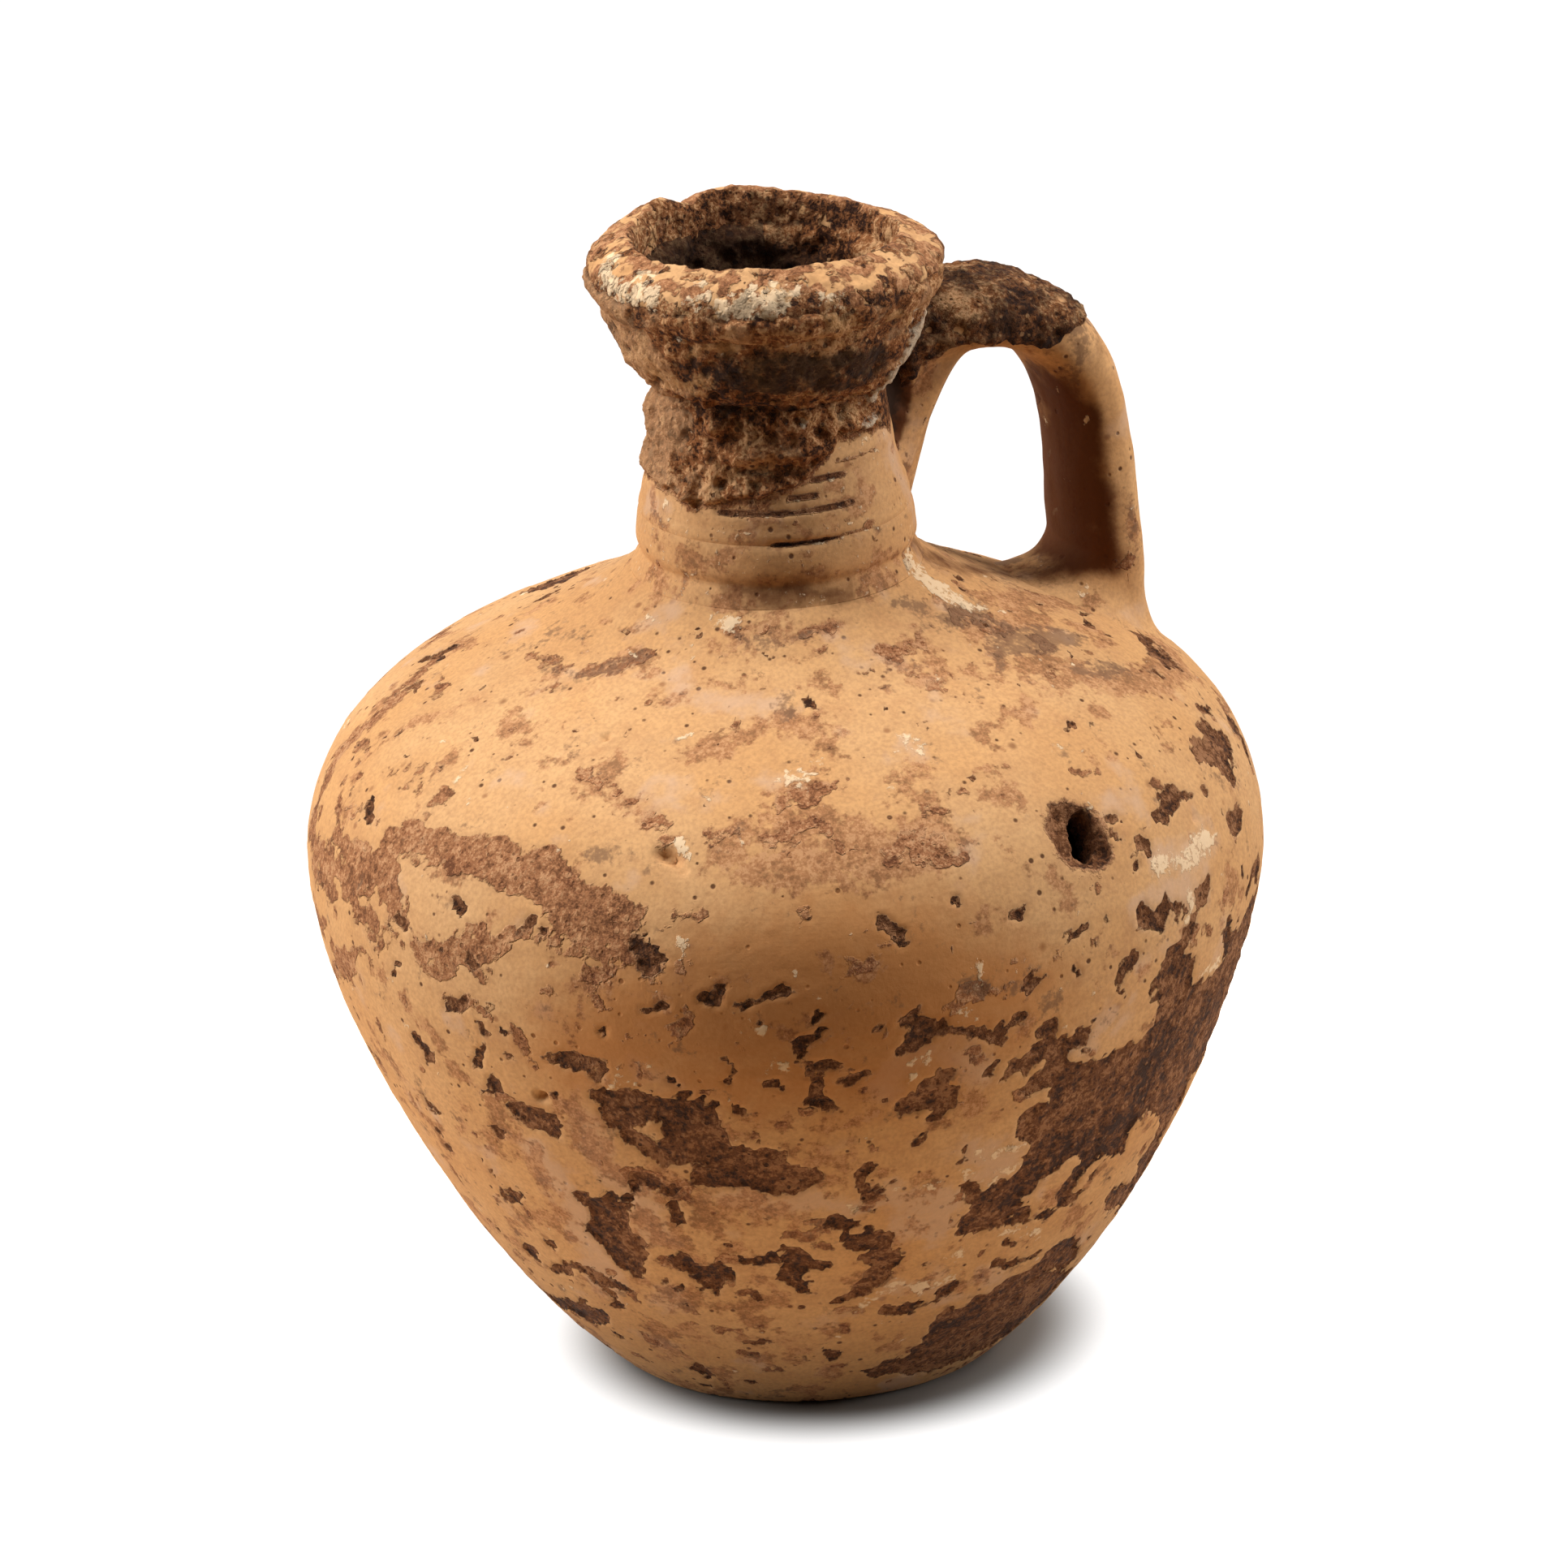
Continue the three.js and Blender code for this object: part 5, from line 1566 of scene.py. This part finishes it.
def handle_wear(points):
    """Fields of wear on the handle; its face towards the neck, down the leg, is painted dark as shade with
    some dirt, and the crack beside the upper root is painted near black as shade.
    """
    flakes = flaked(warped(points, 3.0, 1.0, 202), 1.2, 203)
    z = points[..., 2]
    inner = eased(0.35, -0.8, section_out)[None, :] + 0.0 * z
    outer_streak = points * np.array([1.0, 1.0, 0.35])
    # The strap's face towards the neck, down the leg, is painted dark as shade, with some dirt.
    leg = eased(129.0, 118.0, z) * eased(95.5, 99.5, z) * eased(27.0, 34.0, points[..., 0])
    painted_shade_and_dirt = 6.0 * (inner * leg - 0.42) + 2.2 * rough(points, 8.0, 3, 215)
    crack_and_painted_shade = np.interp(z, CRACK_HEIGHT, CRACK_REACH) - points[..., 0] + 0.8 * rough(points, 2.0, 3, 216)
    crack_and_painted_shade = np.minimum(crack_and_painted_shade, 4.0 * (-0.3 - section_across)[None, :])
    return {
        "lost": 2.4 * (rough(flakes, 4.0, 3, 201) - 0.95),
        "thin": 2.6 * (rough(flakes, 5.0, 3, 211) - 0.85),
        "stained": 4.0 * (rough(outer_streak, 5.0, 4, 212) - 0.45),
        "bloom": 3.0 * (rough(points, 7.0, 4, 213) - 0.5),
        "grey_stain_and_shade": 2.0 * (rough(outer_streak, 6.0, 3, 221) - 0.55),
        "lime": 2.5 * (rough(points, 3.0, 3, 231) - 1.1),
        "painted_shade_and_dirt": np.maximum(painted_shade_and_dirt, 4.0 * crack_and_painted_shade + 1.0),
        # The crack's field, which sinks the clay and paints it near black as shade.
        "crack_and_painted_shade": crack_and_painted_shade - 0.8,
    }


handle_fields = handle_wear(handle_points)
fade = np.ones(len(handle_points))
fade[:4] = np.linspace(0.0, 1.0, 4)
fade[-4:] = np.linspace(1.0, 0.0, 4)
handle_high = 0.22 * clouds(handle_points, 9.0, 241) + 0.07 * clouds(handle_points, 3.0, 242)
handle_high += 0.06 * clouds(handle_points * np.array([1.0, 1.0, 0.12]), 1.6, 243)
handle_high -= 0.28 * eased(0.0, 0.5, handle_fields["lost"]) + 0.08 * eased(0.0, 0.8, handle_fields["thin"])
handle_high -= CRACK_DEEP * eased(-0.6, 0.8, handle_fields["crack_and_painted_shade"])
handle_real = handle_points + handle_normals * (handle_high * fade[:, None])[..., None]


def ring_piece(name, first, last, finish):
    """A closed piece cut from the handle's rings, its two ends closed by fans."""
    points = handle_real[first: last + 1]
    rows = len(points)
    quads, corner_rows, corner_columns = grid_faces(rows, HANDLE_AROUND, False, True)
    quad_map = np.stack(
        [0.02 + 0.9 * corner_columns / HANDLE_AROUND, 0.02 + 0.9 * corner_rows / (rows - 1)], axis=-1
    )
    flat = points.reshape(-1, 3)
    ends = np.stack([points[0].mean(axis=0), points[-1].mean(axis=0)])
    flat = np.concatenate([flat, ends])
    here = np.arange(HANDLE_AROUND)
    ahead = (here + 1) % HANDLE_AROUND
    top = (rows - 1) * HANDLE_AROUND
    start_fan = np.stack([ahead, here, np.full(HANDLE_AROUND, len(flat) - 2)], axis=1)
    end_fan = np.stack([top + here, top + ahead, np.full(HANDLE_AROUND, len(flat) - 1)], axis=1)
    fans = np.concatenate([start_fan, end_fan])
    fields = {}
    for field in WEAR_FIELDS:
        values = handle_fields.get(field, np.full(handle_points.shape[:2], -FAR))
        fields[field] = np.concatenate([values[first: last + 1].ravel(), [0.0, 0.0]])
    sharp = np.zeros(len(flat), bool)
    sharp[:HANDLE_AROUND] = True
    sharp[top: top + HANDLE_AROUND] = True
    ring = points[rows // 2]
    facing = np.cross(ring[1] - ring[0], points[rows // 2 + 1, 0] - ring[0])
    if facing @ (ring[0] - ring.mean(axis=0)) < 0.0:
        quads = quads[:, ::-1]
        quad_map = quad_map[:, ::-1]
        fans = fans[:, ::-1]
    return make_piece(name, flat, quads, fans, quad_map, fields, sharp, finish)


# First and last ring of each piece of the handle.
HANDLE_CUTS = {
    "handle_upper_root": (0, UPPER_END),
    "handle_strap": (UPPER_END, LOWER_START),
    "handle_lower_root": (LOWER_START, len(handle_real) - 1),
}
for node, (first, last) in HANDLE_CUTS.items():
    dress(ring_piece(node + "_fired", first, last, WORN_SLIP), node)


# Dried soil: closed shells whose thickness drops below the clay where there is none.
def shell_piece(name, under, over, fields, wrap, finish):
    """A closed shell between an under and an over grid of the same size."""
    rows, columns = over.shape[:2]
    quads, corner_rows, corner_columns = grid_faces(rows, columns, False, wrap)
    width = columns if wrap else columns - 1
    across = corner_columns / width
    along = corner_rows / (rows - 1)
    over_map = np.stack([0.02 + 0.96 * across, 0.02 + 0.72 * along], axis=-1)
    under_map = np.stack([0.02 + 0.96 * across, 0.77 + 0.16 * along], axis=-1)
    count = rows * columns
    loop = [np.arange(columns), (rows - 1) * columns + np.arange(columns)]
    sides = []
    for index, edge in enumerate(loop):
        nxt = np.roll(edge, -1)
        if not wrap:
            edge = edge[:-1]
            nxt = nxt[:-1]
        side = np.stack([edge, edge + count, nxt + count, nxt], axis=1)
        sides.append(side if index == 0 else side[:, ::-1])
    if not wrap:
        for index, column in enumerate((0, columns - 1)):
            edge = np.arange(rows - 1) * columns + column
            side = np.stack([edge, edge + columns, edge + columns + count, edge + count], axis=1)
            sides.append(side if index == 0 else side[:, ::-1])
    walls = np.concatenate(sides)
    wall_map = np.zeros((len(walls), 4, 2))
    step = 0.96 / len(walls)
    base_u = 0.02 + step * np.arange(len(walls))
    wall_map[:, :, 0] = np.stack([base_u, base_u, base_u + step, base_u + step], axis=1)
    wall_map[:, :, 1] = np.array([0.95, 0.97, 0.97, 0.95])
    flat = np.concatenate([over.reshape(-1, 3), under.reshape(-1, 3)])
    all_quads = np.concatenate([quads, quads[:, ::-1] + count, walls])
    all_map = np.concatenate([over_map, under_map[:, ::-1], wall_map])
    named = {field: np.tile(values.ravel(), 2) for field, values in fields.items()}
    return make_piece(name, flat, all_quads, np.zeros((0, 3), int), all_map, named, None, finish)


# A field's value where a kind of patch is nowhere near.
NONE_HERE = -3.0

CRUST_LOW = 114.5
CRUST_HIGH = 145.0
CRUST_STEP = 0.27
CRUST_FROM = -196.0
CRUST_TO = 88.0
CRUST_THICK = 0.8
UNDER_WALL = 0.5
# Knobs and holes in the crust as (azimuth, height, radius, rise).
NODULES = [
    (-27.0, 127.9, 1.9, 1.5), (-21.5, 127.0, 1.5, -1.0), (-31.0, 124.5, 1.5, 1.0), (-41.0, 117.8, 1.6, 0.9),
    (-37.0, 118.6, 0.9, -1.0), (14.0, 123.6, 1.4, 0.6), (-8.0, 120.5, 1.2, -0.6), (38.0, 127.0, 1.8, 0.4),
    (-60.0, 127.0, 2.0, 0.6), (-66.0, 123.5, 1.6, 0.6), (-84.0, 127.0, 2.4, 0.8),
]
# Where the clay shows pale through the crust of the cup.
CUP_PALE = [
    [(-70, 136.6, 1), (-58, 136.4, 1.2), (-48, 135.2, 1.1), (-38, 134.6, 0.8), (-24, 134.2, 0.5)],
    [(-30, 138.8, 0.5), (-24, 139.7, 0.9), (-17, 140.1, 1), (-11, 140.7, 0.8)],
    [(-66, 141, 0.7), (-60, 139.8, 0.5)],
    [(-52, 138.6, 0.4), (-46, 138, 0.5)],
    [(20, 137.5, 0.6), (26, 138, 0.6)],
    [(36, 135.5, 0.5), (44, 137, 0.6)],
]
# White streaks and specks on the crust.
CRUST_LIME = [
    [(67, 140, 0.5), (66.5, 139, 0.7), (64.5, 137.3, 0.9), (62, 135, 0.8), (58, 132.6, 0.7),
     (55, 130.4, 0.9)],
    [(55, 130.4, 0.9), (54, 129.4, 0.8)],
    [(6.8, 142, 0.2), (6.8, 141.2, 0.2)],
    [(-30, 141.8, 0.25)],
    [(48, 126.2, 0.4), (56, 126.6, 0.4)],
]
SOIL_END_HEIGHT = [114.0, 122.0, 128.0, 133.0, 139.0, 146.0]
SOIL_END_AZIMUTH = [66.0, 67.0, 68.0, 66.0, 71.0, 84.0]

crust_line = respaced(rising_part(outer_face, CRUST_LOW, CRUST_HIGH), CRUST_STEP)
crust_turn = np.radians(np.linspace(CRUST_FROM, CRUST_TO, NECK_COLUMNS)) + FRONT
crust_points, crust_normals = turned_points(crust_line, crust_turn)
turn = np.degrees(crust_turn - FRONT)[None, :] + 0.0 * crust_points[..., 2]
z = crust_points[..., 2]
above = z - soil_edge(turn) + 0.9 * clouds(crust_points, 2.2, 156) + 0.4 * clouds(crust_points, 1.0, 301)
beside = (np.interp(z, SOIL_END_HEIGHT, SOIL_END_AZIMUTH) - turn) * 0.28
beside = beside + 0.6 * clouds(crust_points, 2.0, 302)
below_lip = 145.0 - z + 0.7 * clouds(crust_points, 2.0, 307)
behind = (turn - CRUST_FROM - 8.0) * 0.24 + 1.3 * clouds(crust_points, 3.4, 304)
covered = np.minimum(np.minimum(above, beside), np.minimum(below_lip, behind))
thick = CRUST_THICK * (1.0 + 0.8 * rough(crust_points, 5.0, 3, 305)) + 0.95 * crumbs(crust_points, 303)
across_front = eased(-26.0, -16.0, turn) * eased(32.0, 22.0, turn)
thick += 0.8 * bell(z, 124.6 + 0.5 * clouds(crust_points, 6.0, 306), 0.9) * across_front
thick -= 0.6 * bell(z, 122.6, 0.8) * across_front
crease = 0.25 + 0.75 * eased(10.0, -15.0, turn)
thick -= 0.8 * crease * bell(z, 131.0 + 0.3 * clouds(crust_points, 5.0, 308), 0.6)
for azimuth, height, radius, rise in NODULES:
    spot = on_wall(np.array(azimuth), np.array(height))
    thick += rise * eased(radius * 1.2, 0.0, np.linalg.norm(crust_points - spot, axis=-1))
cup = eased(132.0, 135.0, z)
thick = thick * (1.0 - 0.4 * cup) + 0.45 * bell(z, 142.0, 1.6) * (1.0 - bell(turn, -92.0, 30.0))
thick -= 0.8 * bell(turn, -92.0, 20.0) * bell(z, 133.0, 6.0)
crust_streak = stroke_field(warped(crust_points, 3.0, 0.5, 309), CRUST_LIME)
thick += 0.5 * eased(-0.3, 0.2, crust_streak)
thick = thick * eased(-0.1, 0.8, covered) - UNDER_WALL * eased(0.5, -0.6, covered)
crust_over = leaning(crust_points + crust_normals * thick[..., None])
crust_under = leaning(crust_points - crust_normals * (UNDER_WALL + 0.25))
crust_pale = stroke_field(warped(warped(crust_points, 4.0, 1.2, 312), 1.6, 0.7, 315), CUP_PALE)
crust_through = np.where(cup > 0.5, 2.4 * (rough(crust_points, 4.0, 4, 311) - 0.62), NONE_HERE)
crust_through = np.maximum(crust_pale, crust_through)
# Painted shade on the crust: under the lip's overhang across the front of the cup, and along the crease at
# the foot of the cup.
CRUST_PAINTED_SHADE = [
    [(-16, 137.5, 2), (0, 137, 3), (16, 136.5, 3.2), (32, 136, 3), (44, 136, 2)],
    [(-20, 131, 0.6), (0, 131, 0.6), (16, 131, 0.4)],
]
crust_shade_and_dark_soil = np.minimum(stroke_field(warped(crust_points, 4.0, 1.4, 318), CRUST_PAINTED_SHADE), 0.5)
crust_shade_and_dark_soil = crust_shade_and_dark_soil + 0.7 * rough(crust_points, 3.0, 3, 319)
# The crust's left side, where the lamps fall, is painted paler as painted light, with random paler soil.
crust_lit_side = eased(-30.0, -74.0, turn) * eased(-176.0, -128.0, turn)
# Where the crust is thin, in its pits and at its edges, it is painted dark as shade. The shade strokes add
# to that, with random darker soil.
crust_fields = {
    "through": crust_through,
    "lime": np.maximum(crust_streak, 2.4 * (rough(crust_points, 2.2, 3, 321) - 1.1)),
    "painted_shade_and_dark_soil": np.maximum(0.10 - thick, 0.5 * crust_shade_and_dark_soil + 0.04),
    "pale_soil_and_painted_light": 2.6 * (crust_lit_side - 0.32) + 1.6 * rough(crust_points, 4.0, 3, 317),
}
neck_soil = shell_piece("neck_soil_dried", crust_under, crust_over, crust_fields, False, BURIAL_SOIL)
dress(neck_soil, "neck_soil_crust")

LINING_LOW = 119.0
LINING_HIGH = 145.6
lining_line = joined(
    rising_part(wall_inside, LINING_LOW, LIP_FOOT_INSIDE[1]),
    np.array([LIP_FOOT_INSIDE, (16.0, 144.6), (16.4, LINING_HIGH)]),
)
lining_line = respaced(lining_line, NECK_STEP * 1.3)
lining_points, lining_normals = turned_points(lining_line, all_round(NECK_COLUMNS))
lining_thick = 0.9 + 0.8 * rough(lining_points, 7.0, 3, 332) + 1.2 * (0.6 - grains(lining_points, 3.6, 331))
lining_thick += crumbs(lining_points, 333)
top_fade = eased(LINING_HIGH, 143.0, lining_points[..., 2])
lining_thick = np.maximum(lining_thick, 0.15) * top_fade - 0.4 * (1.0 - top_fade)
lining_over = leaning(lining_points - lining_normals * lining_thick[..., None])
lining_under = leaning(lining_points + lining_normals * 0.6)
# Painted shade deep inside the mouth, reaching higher on the back left, which the left lamps leave in shade,
# and lower on the lit back right. Thin places in the lining are painted dark as shade too.
lining_shaded_side = bell(azimuth_of(lining_points), -150.0, 60.0)
lining_lit_side = bell(azimuth_of(lining_points), 125.0, 45.0)
lining_painted_shade = (146.5 + 1.6 * lining_shaded_side - 5.0 * lining_lit_side - lining_points[..., 2]) / 9.0
lining_painted_shade = np.clip(lining_painted_shade, 0.0, 1.0)
lining_fields = {
    "through": np.full(lining_thick.shape, NONE_HERE), "lime": np.full(lining_thick.shape, NONE_HERE),
    "painted_shade_and_dark_soil": np.maximum(0.4 - 0.6 * lining_lit_side - lining_thick, 1.6 * lining_painted_shade - 0.35),
    "pale_soil_and_painted_light": np.full(lining_thick.shape, NONE_HERE),
}
mouth_soil = shell_piece(
    "mouth_soil_dried", lining_under[:, ::-1], lining_over[:, ::-1],
    {key: values[:, ::-1] for key, values in lining_fields.items()}, True, BURIAL_SOIL,
)
dress(mouth_soil, "mouth_soil_lining")

ARCH_SOIL_TO = 0.375
first_ring = UPPER_END - int(ROOT_RINGS * 0.7)
last_ring = UPPER_END + int((ARCH_SOIL_TO + 0.05 - STRAP_START) / (STRAP_END - STRAP_START) * strap_count)
arch_points = handle_real[first_ring: last_ring + 1]
arch_normals = handle_normals[first_ring: last_ring + 1]
arch_core = arch_points.mean(axis=1, keepdims=True)
half = HANDLE_AROUND // 2
spread = np.arange(-HANDLE_AROUND // 6, half + HANDLE_AROUND // 6 + 1)
arch_points = arch_points[:, spread % HANDLE_AROUND]
arch_normals = arch_normals[:, spread % HANDLE_AROUND]
ring_share = np.linspace(0.0, 1.0, len(arch_points))[:, None]
angle = np.degrees(spread * 2.0 * math.pi / HANDLE_AROUND)[None, :]
end_gap = (0.92 - 0.0022 * np.maximum(angle - 115.0, 0.0) - ring_share) * 22.0
near_gap = (212.0 - 12.0 * eased(0.42, 0.22, ring_share) - angle) * 0.10
far_gap = (angle + 18.0) * 0.10
start_gap = ring_share * 30.0
arch_cover = np.minimum(np.minimum(end_gap, near_gap), np.minimum(far_gap, start_gap))
arch_cover = arch_cover + 0.9 * clouds(arch_points, 2.4, 341) + 0.4 * clouds(arch_points, 1.1, 342)
arch_thick = 0.6 * (1.0 + 0.7 * rough(arch_points, 4.5, 3, 343)) + 0.9 * crumbs(arch_points, 344)
arch_thick = arch_thick * eased(-0.1, 0.8, arch_cover) - 0.4 * eased(0.5, -0.6, arch_cover)
arch_inward = arch_core - arch_points
arch_inward /= np.linalg.norm(arch_inward, axis=-1, keepdims=True)
arch_over = arch_points + arch_normals * np.maximum(arch_thick, 0.0)[..., None]
arch_over += arch_inward * np.maximum(-1.6 * arch_thick, 0.0)[..., None]
arch_under = arch_points + arch_inward * 1.1
arch_fields = {
    "through": 2.0 * (rough(arch_points, 3.0, 3, 351) - 0.85),
    "lime": 2.4 * (rough(arch_points, 2.0, 3, 361) - 1.15),
    # Painted shade in the arch crust's pits and thin places, with random darker soil.
    "painted_shade_and_dark_soil": np.maximum(0.10 - arch_thick, 0.3 * rough(arch_points, 5.0, 3, 345) + 0.1),
    "pale_soil_and_painted_light": np.full(arch_thick.shape, NONE_HERE),
}
arch_soil = shell_piece("handle_soil_dried", arch_under, arch_over, arch_fields, False, BURIAL_SOIL)
dress(arch_soil, "handle_soil_crust")


# The floor, the lamps and the camera.
def view_direction(right, up, towards):
    """A place in metres from the viewer's right, up and towards the viewer."""
    facing = np.array([math.cos(FRONT), math.sin(FRONT), 0.0])
    return right * VIEW_RIGHT + towards * facing + np.array([0.0, 0.0, up])


def soft_lamp(name, place, aim, width, height, power, colour):
    """A soft box aimed at a point."""
    light = bpy.data.lights.new(name, "AREA")
    light.shape = "RECTANGLE"
    light.size = width
    light.size_y = height
    light.energy = power
    light.color = colour
    lamp = bpy.data.objects.new(name, light)
    lamp.location = place
    lamp.matrix_world = aimed(place, aim, 0.0)
    bpy.context.scene.collection.objects.link(lamp)


def aimed(place, aim, roll):
    """Matrix of a lamp or camera at a place, looking at a point, turned about its own line of sight."""
    back = np.array(place) - np.array(aim)
    back /= np.linalg.norm(back)
    right = np.cross([0.0, 0.0, 1.0], back)
    if np.linalg.norm(right) < 1e-6:
        right = np.array([1.0, 0.0, 0.0])
    right /= np.linalg.norm(right)
    up = np.cross(back, right)
    turned_right = right * math.cos(roll) + up * math.sin(roll)
    turned_up = up * math.cos(roll) - right * math.sin(roll)
    matrix = Matrix.Identity(4)
    for row in range(3):
        matrix[row][0] = turned_right[row]
        matrix[row][1] = turned_up[row]
        matrix[row][2] = back[row]
        matrix[row][3] = place[row]
    return matrix


MIDDLE = np.array([0.0, 0.0, 0.075])
WARM = (1.0, 0.98, 0.95)
LAMP_SIZE = 0.35
# Lamps as (name, right, up, towards the viewer, power).
LAMPS = [
    ("left_low", -0.96, 0.26, 0.0, 5.2),
    ("left_high", -0.70, 0.70, 0.0, 6.8),
    ("right_low", 0.96, 0.26, 0.0, 3.5),
    ("right_high", 0.70, 0.70, 0.0, 5.0),
    ("top", 0.0, 1.0, 0.0, 4.0),
]
for name, right, up, towards, power in LAMPS:
    soft_lamp(name, MIDDLE + view_direction(right, up, towards), MIDDLE, LAMP_SIZE, LAMP_SIZE, power, WARM)

FLOOR_SIZE = 3.0
FLOOR_DROP = 0.00005
floor_mesh = bpy.data.meshes.new("floor")
floor_mesh.from_pydata(
    [(-FLOOR_SIZE, -FLOOR_SIZE, 0), (FLOOR_SIZE, -FLOOR_SIZE, 0),
     (FLOOR_SIZE, FLOOR_SIZE, 0), (-FLOOR_SIZE, FLOOR_SIZE, 0)],
    [], [(0, 1, 2, 3)],
)
floor = bpy.data.objects.new("floor", floor_mesh)
floor.location = (0.0, 0.0, -FLOOR_DROP)
bpy.context.scene.collection.objects.link(floor)


def seen_ray(tree):
    """1 for rays that see a surface directly, in gloss or through glass."""
    path = add_node(tree, "ShaderNodeLightPath")
    seen = maths(tree, "MAXIMUM", path.outputs["Is Camera Ray"], path.outputs["Is Glossy Ray"])
    return maths(tree, "MAXIMUM", seen, path.outputs["Is Transmission Ray"])


SHADOW_MIDDLE = view_direction(0.003, 0.0, 0.002)
SHADOW_FROM = 0.026
SHADOW_TO = 0.039
# Only the floor near the vessel throws light back; further off it is dark to all but the camera.
FLOOR_NEAR = 0.09
FLOOR_FAR = 0.20
floor_finish = bpy.data.materials.new("pale_floor")
floor_finish.use_nodes = True
floor_tree = floor_finish.node_tree
floor_shader = floor_tree.nodes["Principled BSDF"]
floor_shader.inputs["Roughness"].default_value = 1.0
floor_shader.inputs["Specular IOR Level"].default_value = 0.0
floor_spot = add_node(floor_tree, "ShaderNodeTexCoord")
floor_gap = add_node(floor_tree, "ShaderNodeVectorMath", {"operation": "DISTANCE"})
feed(floor_tree, floor_spot.outputs["Object"], floor_gap.inputs[0])
floor_gap.inputs[1].default_value = tuple(SHADOW_MIDDLE)
floor_far = ramp(floor_tree, floor_gap.outputs["Value"], FLOOR_NEAR, FLOOR_FAR)
floor_ring = ramp(floor_tree, floor_gap.outputs["Value"], SHADOW_TO, FLOOR_NEAR)
# Within the shadow's reach the floor is painted grey, which deepens its contact shadow as painted shade. The
# warm ring beyond throws light back onto the vessel.
floor_tone = blend(floor_tree, floor_ring, (0.26, 0.25, 0.24, 1), (0.92, 0.70, 0.48, 1))
floor_tone = blend(floor_tree, floor_far, floor_tone, (0.10, 0.07, 0.045, 1))
feed(floor_tree, floor_tone, floor_shader.inputs["Base Color"])
# From SHADOW_FROM out the floor glows white for the camera: painted light that fades the real shadow out by
# SHADOW_TO.
floor_painted_light = ramp(floor_tree, floor_gap.outputs["Value"], SHADOW_FROM, SHADOW_TO)
floor_glow = maths(floor_tree, "MULTIPLY", floor_painted_light, seen_ray(floor_tree))
floor_shader.inputs["Emission Color"].default_value = (1, 1, 1, 1)
feed(floor_tree, floor_glow, floor_shader.inputs["Emission Strength"])
floor_mesh.materials.append(floor_finish)

world = bpy.data.worlds.new("studio")
bpy.context.scene.world = world
world.use_nodes = True
world_tree = world.node_tree
backdrop = world_tree.nodes["Background"]
FILL = (0.02, 0.015, 0.01, 1)
backdrop_colour = blend(world_tree, seen_ray(world_tree), FILL, (1, 1, 1, 1))
feed(world_tree, backdrop_colour, backdrop.inputs["Color"])
backdrop.inputs["Strength"].default_value = 1.0

CAMERA_DISTANCE = 1.2
CAMERA_RISE = math.radians(21.5)
CAMERA_ROLL = math.radians(-2.4)
CAMERA_LENS = 216.3
SENSOR_WIDTH = 36.0
CAMERA_AIM = np.array([0.0, 0.0, 0.0748]) - 0.0001 * VIEW_RIGHT
lens = bpy.data.cameras.new("camera")
lens.sensor_width = SENSOR_WIDTH
lens.lens = CAMERA_LENS
lens.clip_start = 0.01
camera = bpy.data.objects.new("camera", lens)
camera_place = CAMERA_AIM + view_direction(
    0.0, CAMERA_DISTANCE * math.sin(CAMERA_RISE), CAMERA_DISTANCE * math.cos(CAMERA_RISE)
)
camera.matrix_world = aimed(camera_place, CAMERA_AIM, CAMERA_ROLL)
bpy.context.scene.collection.objects.link(camera)
bpy.context.scene.camera = camera
bpy.context.scene.view_settings.view_transform = "Standard"
